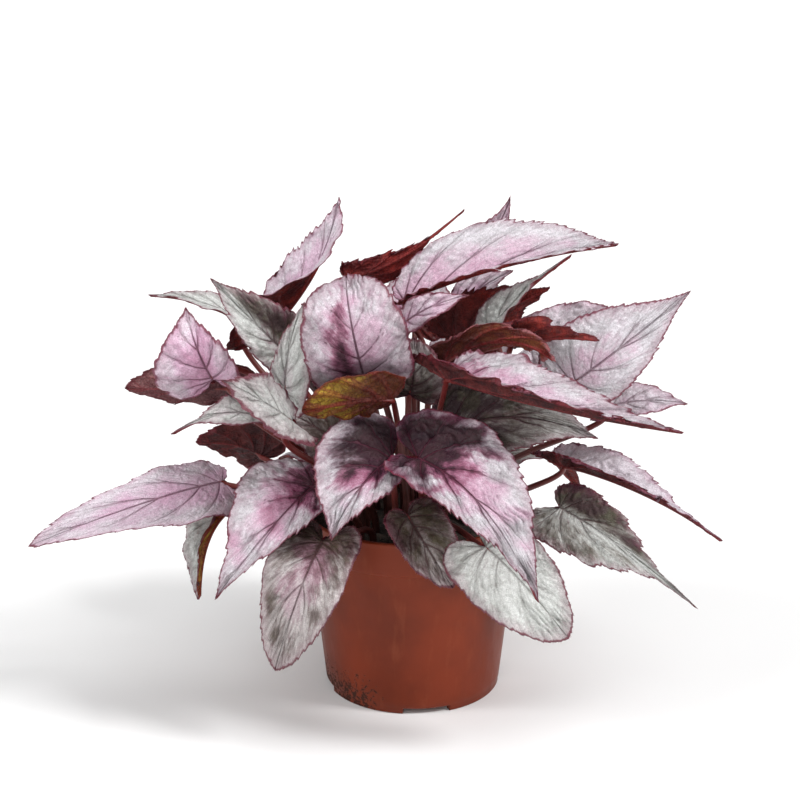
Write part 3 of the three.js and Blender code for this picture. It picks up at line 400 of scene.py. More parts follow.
def bladeSheet(name, leaf, low, high):
    # grid over the blade: u runs from -1 at the left margin over 0 at the midrib to 1 at the right one,
    # t round the outline from the notch to the tip. A point lies u of the way from where its vein starts
    # on the midrib to the outline, and veins bend forward on their way. The middle of the blade stays
    # between the corners low and high.
    seed = seedOf(name)
    length = np.linalg.norm(np.array(leaf["tip"], float) - np.array(leaf["base"], float))
    coarse = blade["hiddenSize"] if "back" in name else 1
    around = length * 1.15 + leaf["width"] * 0.5  # about the length of half the outline
    perVein = round(around / blade["veins"] / blade["columnSize"] / coarse)
    perVein = int(np.clip(perVein, *blade["columnsPerVein"]))
    rows = int(np.clip(round(leaf["width"] / 2 / blade["rowSize"] / coarse), *blade["rows"]))
    columns = blade["veins"] * perVein
    inner = np.arange(rows + 1) / rows
    inner = np.concatenate([inner[:-1] * blade["rimShare"], [blade["rimShare"], 1.0]])
    u = np.concatenate([-inner[:0:-1], inner])
    t = np.arange(columns + 1) / columns
    u, t = np.meshgrid(u, t, indexing="ij")
    reach, isLeft = np.abs(u), u < 0
    half = leaf["width"] / 2 * np.where(isLeft, *leaf["sides"])
    edge = outlineAt(leaf["form"], t)
    lobe = np.where(isLeft, *np.broadcast_to(leaf["lobes"], 2))
    edgeY = np.where(edge[..., 1] < 0, edge[..., 1] * lobe, edge[..., 1])
    start = np.clip((t - blade["fanShare"]) / (1 - blade["fanShare"]), 0, 1) ** blade["veinSpread"]
    cut = marginCut(leaf, seed, t, around, isLeft)
    share = reach * (1 - cut / np.maximum(half, 4) * smooth(0.82, 1, reach))
    bend = blade["veinBend"] * 4 * share * (1 - share) * smooth(0.3, 0.6, t) * (1 - smooth(0.85, 1, t))
    x = np.sign(u) * edge[..., 0] * share
    y = start + (edgeY - start) * share - bend

    # merge the base fan and the tip into one point each
    ids = np.arange(u.size).reshape(u.shape)
    middle = len(u) // 2
    base, tip = ids[middle, 0], ids[middle, -1]
    ids[:, 0] = base
    ids[:, -1] = tip
    ids[middle, start[middle] <= 0] = base
    triangles = tidyTriangles(cellTriangles(ids[:-1, :-1], ids[1:, :-1], ids[1:, 1:], ids[:-1, 1:]))
    x[:, 0], y[:, 0], x[:, -1], y[:, -1] = 0, 0, 0, 1

    # flat place in millimetres, and distances to the margin, the midrib, the main veins and their forks
    flatX, flatY = x * half, y * length
    run = np.hypot(flatX, flatY - start * length)
    rimGap = np.where(isLeft, run[:1], run[-1:]) - run
    dt = [np.gradient(v, t[0], axis=1) for v in (flatX, flatY)]
    du = [np.gradient(v, axis=0) for v in (flatX, flatY)]
    pitch = np.abs(dt[0] * du[1] - dt[1] * du[0]) / np.maximum(np.hypot(*du), 1e-6)
    cell = t * blade["veins"]
    offset = cell - np.floor(cell) - 0.5
    mainGap = np.abs(offset) / blade["veins"] * pitch
    fork = 0.3 * smooth(0.35, 1, reach)
    forkGap = np.abs(np.abs(offset) - fork) / blade["veins"] * pitch + 3 * (reach < 0.35)
    ribGap = np.where((y >= 0) & (y <= 1), np.abs(flatX), 50.0)
    mainWidth = 0.2 + 0.4 * (1 - reach) * (1 - 0.6 * t)
    ribWidth = 0.2 + 0.5 * (1 - np.clip(y, 0, 1))
    forkWidth = 0.14 + 0.18 * (1 - reach)
    veinGap = np.minimum(np.minimum(mainGap / mainWidth, ribGap / ribWidth), forkGap / forkWidth)
    dark, pink = leafPaint(leaf, seed, x, y, flatX, flatY, t, length, reach, np.minimum(mainGap, ribGap))

    # height over the middle surface: sunk veins, puffed cells in rows between them, and crinkles
    room = np.clip(pitch / blade["veins"] / 9, 0, 1)
    across = np.sin(np.pi * np.clip(np.abs(offset) * 2, 0, 1) / 2) ** 0.8
    parity = np.floor(cell + 0.5)
    stretch = blade["puffLength"] * (1 + 0.25 * ripple(seed + 3, flatX, flatY, 25))
    shift = 0.22 * ripple(seed + 9, flatX, flatY, 9)
    cells = np.abs(np.sin(np.pi * (run / stretch + 0.5 * parity + shift))) ** 0.7
    uneven = 0.65 + 0.45 * ripple(seed + 10, flatX, flatY, 18)
    fade = smooth(0.05, 0.55, reach) * (1 - smooth(0.93, 1, reach)) * leaf["puff"]
    fade *= np.clip(uneven, 0.15, 1.2)
    puffed = across * (0.3 + 0.7 * cells)
    height = blade["puff"] * room * (puffed - 0.45) * fade
    height += blade["crinkle"] * ripple(seed + 4, flatX, flatY, 6) * fade
    height += 0.6 * ripple(seed + 5, flatX, flatY, 22) * smooth(0.1, 0.5, reach)
    wave = ripple(seed + 8 + isLeft, t * around, t * 0, blade["frillSize"])
    height += blade["frill"] * leaf["frill"] * wave * smooth(0.72, 1, reach) * np.sin(np.pi * t) ** 0.5
    dent = np.exp(-(np.minimum(mainGap / mainWidth, ribGap / ribWidth) / 1.6) ** 2)
    height -= blade["veinDepth"] * dent * (1 - smooth(0.6, 1, reach)) * smooth(0, 0.05, reach + y)
    thick = blade["edgeThickness"] + (blade["thickness"] - blade["edgeThickness"]) * np.sqrt(1 - reach**2)
    ridge = blade["ridge"] * dent * (1 - 0.8 * reach)
    # the valleys of the puckers get a share of grey, partly the leaf's own and partly painted shade
    data = {"veinGap": veinGap, "rimGap": rimGap / leaf["rim"], "dark": dark, "pink": pink, "share": reach,
            "valley": (1 - puffed) * fade}
    flat = np.stack([flatX, flatY], -1).reshape(-1, 2)
    strokes = np.stack([t * around * np.sign(u + 0.01), run * 0.3], -1).reshape(-1, 2)

    middleSurface = bladeAt(leaf, x, y).reshape(-1, 3)
    normals = cornerNormals(middleSurface, triangles)
    height, thick, ridge = (v.reshape(-1, 1) for v in (height, thick, ridge))
    height[[base, tip]] = 0
    onRim = (reach.reshape(-1) > 0.999) | np.isin(np.arange(u.size), [base, tip])
    centre = np.clip(middleSurface + normals * height, low, high)
    top = np.where(onRim[:, None], centre, centre + normals * thick / 2)
    bottom = centre - normals * (thick / 2 + ridge)
    under = np.where(onRim, np.arange(u.size), np.arange(u.size) + u.size)
    points = np.concatenate([top, bottom])
    data = {key: np.tile(values.reshape(-1), 2) for key, values in data.items()}
    maps = {"flat": np.tile(flat, (2, 1)), "strokes": np.tile(strokes, (2, 1))}
    rimIds = np.concatenate([ids[0], ids[-1]])
    return points, [triangles, under[triangles[:, ::-1]]], data, maps, centre[rimIds]


# millimetres; the stems start in the soil
soil = {
    "top": 92, "mound": 3, "roughness": 1.5, "lumpSizes": (4.5, 11), "gap": 0.9, "base": 6.0,
    "baseEdge": 8.0, "rings": 44, "columns": 144,
    "colours": ((0.010, 0.007, 0.005), (0.038, 0.024, 0.016)), "bark": (0.11, 0.07, 0.045),
}
stem = {
    "footRadius": 2.0, "neckRadius": 1.4, "keelRadius": 0.75, "rise": 0.4, "pull": 0.3, "collar": 4,
    "rootDepth": 10, "neckDrop": 1.0, "keelShare": 0.14, "keelDrop": 0.7, "crownReach": 42,
    "lowHeight": 110, "lowShare": 0.62, "highHeight": 216, "highShare": 0.28,
    "rings": 30, "sides": 10, "hairs": 90, "hairLength": 1.6, "hairWidth": 0.07,
    # from the soil up: the dark end is painted shade under the leaves, the red end is the stem's own colour
    "colours": ((0.045, 0.012, 0.009), (0.140, 0.014, 0.012)), "streaks": (0.17, 0.045, 0.035),
}


def stemFoot(leaf):
    # low outer leaves grow further out of the soil than high ones
    if leaf["foot"]:
        return np.array(leaf["foot"], float)
    x, y, z = leaf["base"]
    reach = math.hypot(x, y)
    climb = min(max((z - stem["lowHeight"]) / (stem["highHeight"] - stem["lowHeight"]), 0), 1)
    share = stem["lowShare"] + (stem["highShare"] - stem["lowShare"]) * climb
    return np.array([x, y]) / reach * min(reach * share, stem["crownReach"])


def stemPath(leaf, rings):
    # upright out of the soil, then a cubic Bezier curve to the blade's base and on below the midrib
    foot = np.append(stemFoot(leaf), soil["top"])
    at = lambda y: [v[0] for v in midribAt(leaf, np.array([y]))[:3]]
    base, along, up = at(0.0)
    neck = base - up * stem["neckDrop"]
    span = np.linalg.norm(neck - foot)
    arrival = unit(np.array(leaf["arrival"], float)) if leaf["arrival"] else unit(0.35 * along + 0.95 * up)
    p0 = foot + (0, 0, stem["collar"])
    p1 = foot + (0, 0, stem["rise"] * span)
    p2 = neck - arrival * stem["pull"] * span
    s = np.linspace(0, 1, rings)[:, None]
    curve = p0 * (1 - s) ** 3 + 3 * p1 * s * (1 - s) ** 2 + 3 * p2 * s**2 * (1 - s) + neck * s**3
    keelPoint, _, keelUp = at(stem["keelShare"])
    keelEnd = keelPoint - keelUp * stem["keelDrop"]
    bend = np.linspace(0, 1, 5)[1:, None]
    corner = base - up * stem["keelDrop"] + along * 1.0
    keel = neck * (1 - bend) ** 2 + 2 * corner * bend * (1 - bend) + keelEnd * bend**2
    centres = np.concatenate([[foot - (0, 0, stem["rootDepth"])], curve, keel])
    thick, thin, fine = stem["footRadius"], stem["neckRadius"], stem["keelRadius"] * 0.6
    radii = [[thick], thick + (thin - thick) * s[:, 0], thin + (fine - thin) * bend[:, 0]]
    return centres, np.concatenate(radii)


def tube(centres, radii, sides, ribs=0.06):
    # rings square to the path, on frames turned as little as possible, with faint ribs along it;
    # both ends close on a point
    along = unit(np.gradient(centres, axis=0))
    across = np.zeros_like(centres)
    start = np.array([1.0, 0, 0])
    for i, direction in enumerate(along):
        start = unit(start - (start @ direction) * direction)
        across[i] = start
    third = np.cross(along, across)
    angle = np.linspace(0, 2 * np.pi, sides, endpoint=False)
    radius = radii[:, None] * (1 + ribs * np.cos(3 * angle)[None, :])
    ring = across[:, None] * np.cos(angle)[None, :, None] + third[:, None] * np.sin(angle)[None, :, None]
    points = centres[:, None] + ring * radius[..., None]
    points = np.concatenate([points.reshape(-1, 3), centres[:1], centres[-1:]])
    share = np.repeat(np.linspace(0, 1, len(centres)), sides)
    return points, ringTriangles(len(centres), sides), np.append(share, [0, 1])


def hairs(roots, directions, lengths, width):
    # each hair is a slim closed spike: three points round its root and one at its end
    directions = unit(directions)
    helper = np.where(np.abs(directions[:, 2:]) > 0.8, [[1.0, 0, 0]], [[0, 0, 1.0]])
    across = unit(np.cross(directions, helper))
    third = np.cross(directions, across)
    sink = roots - directions * width
    thirds = (0, 2.094, 4.189)  # of a turn, in radians
    corners = [sink + width * (across * math.cos(k) + third * math.sin(k)) for k in thirds]
    points = np.stack([*corners, roots + directions * lengths[:, None]], 1).reshape(-1, 3)
    faces = np.array([[0, 2, 1], [0, 1, 3], [1, 2, 3], [2, 0, 3]])
    triangles = (4 * np.arange(len(roots))[:, None, None] + faces).reshape(-1, 3)
    return points, triangles


def meshObject(name, points, groups, materials, data=None, maps=None, shadeSmooth=True):
    # one mesh from points in metres and groups of triangles, each group with its own material
    triangles = np.concatenate(groups)
    used, renamed = np.unique(triangles, return_inverse=True)
    triangles = renamed.reshape(-1, 3)
    points = np.asarray(points)[used]
    mesh = bpy.data.meshes.new(name)
    mesh.vertices.add(len(points))
    mesh.vertices.foreach_set("co", points.astype(np.float32).ravel())
    mesh.loops.add(triangles.size)
    mesh.loops.foreach_set("vertex_index", triangles.astype(np.int32).ravel())
    mesh.polygons.add(len(triangles))
    mesh.polygons.foreach_set("loop_start", np.arange(0, triangles.size, 3, dtype=np.int32))
    mesh.polygons.foreach_set("loop_total", np.full(len(triangles), 3, np.int32))
    kinds = np.concatenate([np.full(len(g), k, np.int32) for k, g in enumerate(groups)])
    mesh.polygons.foreach_set("material_index", kinds)
    mesh.polygons.foreach_set("use_smooth", np.full(len(triangles), shadeSmooth))
    for key, values in (data or {}).items():
        layer = mesh.attributes.new(key, "FLOAT", "POINT")
        layer.data.foreach_set("value", values[used].astype(np.float32))
    for key, places in (maps or {}).items():
        layer = mesh.uv_layers.new(name=key)
        layer.data.foreach_set("uv", places[used][triangles.ravel()].astype(np.float32).ravel())
    mesh.update(calc_edges=True)
    mesh.validate()
    for material in materials:
        mesh.materials.append(material)
    piece = bpy.data.objects.new(name, mesh)
    bpy.context.scene.collection.objects.link(piece)
    return piece


# shader helpers

class Signal:
    # an output in a node tree; its sums, differences, products and quotients are Math nodes
    def __init__(self, tree, socket):
        self.tree, self.socket = tree, socket

    def __add__(self, other):
        return calc("ADD", self, other)

    def __sub__(self, other):
        return calc("SUBTRACT", self, other)

    def __rsub__(self, other):
        return calc("SUBTRACT", other, self)

    def __mul__(self, other):
        return calc("MULTIPLY", self, other)

    def __truediv__(self, other):
        return calc("DIVIDE", self, other)


def plug(socket, value):
    # a signal is linked to the socket; a number, colour or vector is set on it
    if isinstance(value, Signal):
        value.tree.links.new(value.socket, socket)
    elif isinstance(value, tuple) and socket.type == "RGBA":
        socket.default_value = (*value, 1)
    else:
        socket.default_value = value


def plugAll(node, inputs):
    for key, value in inputs.items():
        plug(node.inputs[key], value)


def addNode(tree, kind, inputs, output=0, **settings):
    # a node with its settings and inputs; gives the named output
    node = tree.nodes.new("ShaderNode" + kind)
    for key, value in settings.items():
        setattr(node, key, value)
    plugAll(node, inputs)
    return Signal(tree, node.outputs[output])


def treeOf(*values):
    # the tree of the first signal among them
    return next(value.tree for value in values if isinstance(value, Signal))


def newMaterial(name):
    material = bpy.data.materials.new(name)
    material.use_nodes = True
    tree = material.node_tree
    return material, tree, tree.nodes["Principled BSDF"]


def attribute(tree, name):
    return addNode(tree, "Attribute", {}, "Fac", attribute_name=name)


def objectPlace(tree):
    return addNode(tree, "TexCoord", {}, "Object")


def mapPlace(tree, name):
    return addNode(tree, "UVMap", {}, "UV", uv_map=name)


def noise(place, scale, detail=3, roughness=0.55):
    inputs = {"Vector": place, "Scale": scale, "Detail": detail, "Roughness": roughness}
    return addNode(place.tree, "TexNoise", inputs, "Fac")


def spread(value, low, high, toLow=0.0, toHigh=1.0):
    # eased ramp from toLow where the value is low to toHigh where it is high
    inputs = {"Value": value, "From Min": low, "From Max": high, "To Min": toLow, "To Max": toHigh}
    return addNode(value.tree, "MapRange", inputs, "Result", interpolation_type="SMOOTHSTEP")


def calc(operation, a, b, clamp=False):
    return addNode(treeOf(a, b), "Math", {0: a, 1: b}, operation=operation, use_clamp=clamp)


def vectorCalc(operation, a, inputs):
    return addNode(a.tree, "VectorMath", {0: a, **inputs}, operation=operation)


def blend(factor, a, b, mode="MIX"):
    inputs = {0: factor, 6: a, 7: b}  # 6 and 7 are the colours A and B, output 2 the colour
    return addNode(treeOf(factor, a, b), "Mix", inputs, 2, data_type="RGBA", blend_type=mode)


def speckled(colour, factor):
    # the colour times a grey of that factor
    tint = addNode(factor.tree, "CombineColor", {0: factor, 1: factor, 2: factor})
    return blend(1.0, colour, tint, "MULTIPLY")


def bumpOf(height, strength, distance):
    inputs = {"Strength": strength, "Distance": distance, "Height": height}
    return addNode(height.tree, "Bump", inputs, "Normal")


def newGroup(name, inputs, outputs):
    # empty node group with float sockets, Vector being the one vector
    group = bpy.data.node_groups.new(name, "ShaderNodeTree")
    for key, value in inputs.items():
        kind = "NodeSocketVector" if key == "Vector" else "NodeSocketFloat"
        socket = group.interface.new_socket(key, in_out="INPUT", socket_type=kind)
        if key != "Vector":
            socket.default_value = value
    for key in outputs:
        group.interface.new_socket(key, in_out="OUTPUT", socket_type="NodeSocketFloat")
    given = group.nodes.new("NodeGroupInput").outputs
    result = group.nodes.new("NodeGroupOutput").inputs
    return group, {key: Signal(group, given[key]) for key in inputs}, result


def useGroup(group, **values):
    tree = treeOf(*values.values())
    node = tree.nodes.new("ShaderNodeGroup")
    node.node_tree = group
    plugAll(node, values)
    return {socket.name: Signal(tree, socket) for socket in node.outputs}


def makeSpeckle():
    # salt and pepper of tiny surface cells: a factor round 1 and a height
    sockets = {"Vector": 0, "Scale": 2200, "Contrast": 0.3}
    group, given, result = newGroup("speckle", sockets, ("Factor", "Height"))
    grain = noise(given["Vector"], given["Scale"], 2, 0.75)
    plug(result["Factor"], (spread(grain, 0.32, 0.7) - 0.5) * 2.0 * given["Contrast"] + 1.0)
    plug(result["Height"], grain)
    return group


def makeVeinLines():
    # line over the veins with broken edges; Fade is how much of it goes towards the margin
    sockets = {"Vector": 0, "Gap": 1, "Share": 0, "Fade": 1, "Width": 1}
    group, given, result = newGroup("veinLines", sockets, ("Line",))
    gap = given["Gap"] / given["Width"] + (noise(given["Vector"], 700, 2) - 0.5) * 0.7
    keep = calc("MAXIMUM", spread(given["Share"], 1.0, 0.2, 0.2, 1.0), 1.0 - given["Fade"])
    plug(result["Line"], spread(gap, 1.25, 0.5) * keep)
    return group


def makePuckers():
    # small cushions between the finest veins: rounded cells of two sizes, on the flat map in millimetres
    group, given, result = newGroup("puckers", {"Vector": 0}, ("Height", "Net"))
    flat = given["Vector"]
    wander = addNode(group, "TexNoise", {"Vector": flat, "Scale": 0.22, "Detail": 2}, "Color")
    bent = vectorCalc("ADD", flat, {1: vectorCalc("SCALE", wander, {"Scale": 5.0})})
    size = {"Vector": bent, "Scale": 0.36}
    cells = addNode(group, "TexVoronoi", {**size, "Smoothness": 0.6}, "Distance", feature="SMOOTH_F1")
    border = addNode(group, "TexVoronoi", size, "Distance", feature="DISTANCE_TO_EDGE")
    plug(result["Height"], (1.0 - cells) * 0.6 + noise(bent, 0.3, 2, 0.5))
    plug(result["Net"], spread(border, 0.11, 0.0))
    return group


def makeRim():
    # ragged band along the margin; RimGap and Width in millimetres
    group, given, result = newGroup("rimBand", {"Vector": 0, "RimGap": 5, "Width": 1}, ("Band",))
    wide = given["Width"] * ((noise(given["Vector"], 380, 3) - 0.5) * 2.4 + 1.0)
    plug(result["Band"], calc("SUBTRACT", 1.0, given["RimGap"] / wide, True))
    return group


speckle, veinLines, puckers, rimBand = makeSpeckle(), makeVeinLines(), makePuckers(), makeRim()

# linear colours of the upper side: silver, greyer in the valleys of the puckers by each look's share there,
# a grey that is partly the leaf's own and partly painted shade in those hollows, over dusk to plum or olive
# where it darkens, over pink to magenta where it blushes
upperLooks = {
    "pink": {
        "hollowGreyAndShade": 0.6, "silver": (0.69, 0.655, 0.695), "grey": (0.38, 0.355, 0.375),
        "pink": (0.62, 0.37, 0.50), "magenta": (0.27, 0.045, 0.12), "dusk": (0.17, 0.105, 0.14),
        "plum": (0.022, 0.008, 0.013), "olive": (0.034, 0.018, 0.020), "vein": (0.10, 0.020, 0.040),
        "edge": (0.15, 0.008, 0.032)},
    "silver": {
        "hollowGreyAndShade": 0.7, "silver": (0.66, 0.67, 0.65), "grey": (0.33, 0.34, 0.32),
        "pink": (0.58, 0.40, 0.48), "magenta": (0.24, 0.06, 0.12), "dusk": (0.17, 0.15, 0.125),
        "plum": (0.060, 0.034, 0.036), "olive": (0.075, 0.068, 0.044), "vein": (0.10, 0.055, 0.055),
        "edge": (0.13, 0.009, 0.028)},
    "pale": {
        "hollowGreyAndShade": 0.45, "silver": (0.76, 0.69, 0.75), "grey": (0.48, 0.42, 0.46),
        "pink": (0.70, 0.43, 0.59), "magenta": (0.46, 0.15, 0.28), "dusk": (0.32, 0.22, 0.27),
        "plum": (0.060, 0.022, 0.036), "olive": (0.085, 0.055, 0.055), "vein": (0.20, 0.07, 0.11),
        "edge": (0.15, 0.008, 0.032)},
    "shade": {
        "hollowGreyAndShade": 0.8, "silver": (0.62, 0.575, 0.57), "grey": (0.30, 0.26, 0.25),
        "pink": (0.42, 0.28, 0.33), "magenta": (0.19, 0.06, 0.10), "dusk": (0.125, 0.088, 0.078),
        "plum": (0.052, 0.030, 0.026), "olive": (0.070, 0.058, 0.032), "vein": (0.09, 0.04, 0.042),
        "edge": (0.12, 0.009, 0.026)},
    "plum": {
        "hollowGreyAndShade": 0.8, "silver": (0.44, 0.43, 0.42), "grey": (0.22, 0.205, 0.195),
        "pink": (0.30, 0.16, 0.21), "magenta": (0.17, 0.035, 0.075), "dusk": (0.125, 0.105, 0.092),
        "plum": (0.030, 0.013, 0.017), "olive": (0.048, 0.038, 0.026), "vein": (0.055, 0.020, 0.026),
        "edge": (0.11, 0.009, 0.022)},
}
# of the underside: patches of skin and light, and base by the stem's end, from none to full over baseAt
underLooks = {
    "wine": {
        "baseAt": (0.3, 1.0), "veinWidth": 1.2, "net": 0.15, "skin": (0.085, 0.009, 0.010),
        "light": (0.27, 0.028, 0.020), "vein": (0.20, 0.018, 0.018), "edge": (0.11, 0.008, 0.014),
        "base": (0.035, 0.006, 0.008)},
    # a lighter copy of wine: painted light for an underside that faces away from the lamps
    "litWine": {
        "baseAt": (0.5, 1.2), "veinWidth": 1.2, "net": 0.15, "skin": (0.13, 0.012, 0.013),
        "light": (0.36, 0.034, 0.028), "vein": (0.26, 0.03, 0.028), "edge": (0.14, 0.010, 0.018),
        "base": (0.05, 0.008, 0.010)},
    "ruby": {
        "baseAt": (0.3, 0.9), "veinWidth": 1.8, "net": 0.3, "skin": (0.090, 0.013, 0.008),
        "light": (0.18, 0.050, 0.014), "vein": (0.20, 0.014, 0.014), "edge": (0.28, 0.09, 0.10),
        "base": (0.040, 0.006, 0.007)},
    "olive": {
        "baseAt": (0.2, 0.7), "veinWidth": 4.2, "net": 0.4, "skin": (0.19, 0.115, 0.012),
        "light": (0.38, 0.235, 0.022), "vein": (0.16, 0.012, 0.008), "edge": (0.14, 0.014, 0.010),
        "base": (0.075, 0.010, 0.007)},
    # a darker copy of wine: painted shade for undersides that lie in shadow
    "maroon": {
        "baseAt": (0.4, 1.0), "veinWidth": 1.2, "net": 0.2, "skin": (0.040, 0.009, 0.010),
        "light": (0.105, 0.018, 0.017), "vein": (0.15, 0.018, 0.020), "edge": (0.12, 0.010, 0.018),
        "base": (0.03, 0.006, 0.008)},
    "dusty": {
        "baseAt": (0.3, 0.9), "veinWidth": 1.4, "net": 0.4, "skin": (0.14, 0.045, 0.050),
        "light": (0.24, 0.11, 0.11), "vein": (0.17, 0.028, 0.034), "edge": (0.10, 0.010, 0.018),
        "base": (0.07, 0.02, 0.024)},
}


def upperMaterial(name, look):
    # silver skin that darkens to plum in soft strokes along the veins, blushes along the midrib and ends
    # in a ragged red margin
    material, tree, shader = newMaterial(name)
    place, strokes = objectPlace(tree), mapPlace(tree, "strokes")
    brush, feather = noise(strokes, 0.38, 4, 0.6), noise(strokes, 1.3, 3, 0.6)
    mottle, patch = noise(place, 320, 4, 0.62), noise(place, 70, 3)
    dark, pink, share, valley, veinGap, rimGap = (
        attribute(tree, key) for key in ("dark", "pink", "share", "valley", "veinGap", "rimGap"))
    grain = useGroup(speckle, Vector=place, Scale=2300.0, Contrast=0.24)
    line = useGroup(veinLines, Vector=place, Gap=veinGap, Share=share, Width=1.0)["Line"]
    cushions = useGroup(puckers, Vector=mapPlace(tree, "flat"))
    rim, halo = (useGroup(rimBand, Vector=place, RimGap=rimGap, Width=wide)["Band"] for wide in (1.8, 8.0))

    # silver skin, greyer in strokes and in the valleys of the puckers, where the grey is partly its own and
    # partly painted shade, with its blush
    grey = calc("ADD", spread(brush, 0.42, 0.66, 0, 0.5), valley * look["hollowGreyAndShade"], True)
    colour = blend(grey, look["silver"], look["grey"])
    blush = pink + (patch - 0.5) * 0.7 + (brush - 0.5) * 0.6
    colour = blend(spread(blush, 0.1, 0.8, 0, 0.85), colour, look["pink"])
    colour = blend(spread(blush, 0.6, 1.1, 0, 0.6), colour, look["magenta"])
    # dark field with feathered edges
    field = dark * 1.1 + (brush - 0.5) * 0.7 + (feather - 0.5) * 0.5 + (mottle - 0.5) * 0.35
    keep = spread(dark, 0.0, 0.3)
    soft, deep = spread(field, 0.05, 0.6) * keep, spread(field, 0.35, 0.95) * keep
    ring = blend(spread(blush, 0.1, 0.5), look["dusk"], look["magenta"])
    colour = blend(soft * 0.8, colour, ring)
    colour = blend(deep * 0.95, colour, blend(spread(patch, 0.4, 0.6), look["plum"], look["olive"]))
    # veins and margin
    colour = blend(cushions["Net"] * 0.14, colour, look["vein"])
    colour = blend(line * spread(soft + pink, 0.0, 0.9, 0.3, 0.8), colour, look["vein"])
    colour = blend(halo * 0.4, colour, look["magenta"])
    colour = blend(spread(rim, 0.05, 0.7, 0, 0.9), colour, look["edge"])
    height = cushions["Height"] * 0.55 + brush * 0.5 + feather * 0.25 + grain["Height"] * 0.16
    height = height + mottle * 0.25 - line * 0.4
    plugAll(shader, {
        "Base Color": speckled(colour, grain["Factor"]),
        "Roughness": spread(mottle, 0.3, 0.7, 0.25, 0.46),
        "Metallic": calc("SUBTRACT", 1.0, soft, True) * 0.12,
        "Specular IOR Level": spread(deep, 0.0, 1.0, 0.5, 0.2),
        "Normal": bumpOf(height, 1.0, 0.0016),
    })
    return material


def underMaterial(name, look):
    # velvety underside with raised red veins and a net of fine ones, darker by the stem's end
    material, tree, shader = newMaterial(name)
    place = objectPlace(tree)
    patches = noise(place, 110, 5, 0.65)
    dark, share, veinGap, rimGap = (attribute(tree, key) for key in ("dark", "share", "veinGap", "rimGap"))
    grain = useGroup(speckle, Vector=place, Scale=1500.0, Contrast=0.3)
    line = useGroup(veinLines, Vector=place, Gap=veinGap, Share=share, Fade=0.4, Width=look["veinWidth"])
    cushions = useGroup(puckers, Vector=mapPlace(tree, "flat"))
    rim = useGroup(rimBand, Vector=place, RimGap=rimGap, Width=3.0)["Band"]
    colour = blend(spread(patches, 0.38, 0.66), look["skin"], look["light"])
    colour = blend(cushions["Net"] * look["net"], colour, look["vein"])
    colour = blend(line["Line"] * 0.9, colour, look["vein"])
    field = dark + (patches - 0.5) * 0.8
    colour = blend(spread(field, *look["baseAt"], 0, 0.9), colour, look["base"])
    colour = blend(spread(rim, 0.0, 0.8, 0, 0.85), colour, look["edge"])
    height = cushions["Height"] * 0.9 + cushions["Net"] * 0.4 + grain["Height"] * 0.15
    plugAll(shader, {
        "Base Color": speckled(colour, grain["Factor"]),
        "Roughness": spread(patches, 0.3, 0.7, 0.42, 0.65),
        "Specular IOR Level": 0.28,
        "Normal": bumpOf(height, 0.8, 0.0012),
    })
    return material


def stemMaterial():
    # red up the stem with pale streaks, and darker towards the soil as painted shade under the leaves
    material, tree, shader = newMaterial("redStem")
    place = objectPlace(tree)
    streaks = noise(place, 180, 4)
    upStemOutOfShade = spread(attribute(tree, "share"), 0.0, 0.8)
    colour = blend(upStemOutOfShade, *stem["colours"])
    colour = blend(spread(streaks, 0.45, 0.75, 0, 0.3), colour, stem["streaks"])
    grain = useGroup(speckle, Vector=place, Scale=1200.0, Contrast=0.2)
    plugAll(shader, {
        "Base Color": colour,
        "Roughness": spread(streaks, 0.3, 0.7, 0.34, 0.5),
        "Normal": bumpOf(grain["Height"], 0.3, 0.0004),
    })
    return material


def hairMaterial():
    # red to pale, from hair to hair
    material, tree, shader = newMaterial("redHairs")
    tint = noise(objectPlace(tree), 300, 2)
    plugAll(shader, {
        "Base Color": blend(tint, *blade["hairColours"]),
        "Roughness": spread(tint, 0.3, 0.7, 0.45, 0.65),
    })
    return material


upperSides = {key: upperMaterial(key + "Upper", look) for key, look in upperLooks.items()}
underSides = {key: underMaterial(key + "Under", look) for key, look in underLooks.items()}
redStem = stemMaterial()
redHairs = hairMaterial()
print("scene: leaf materials made")


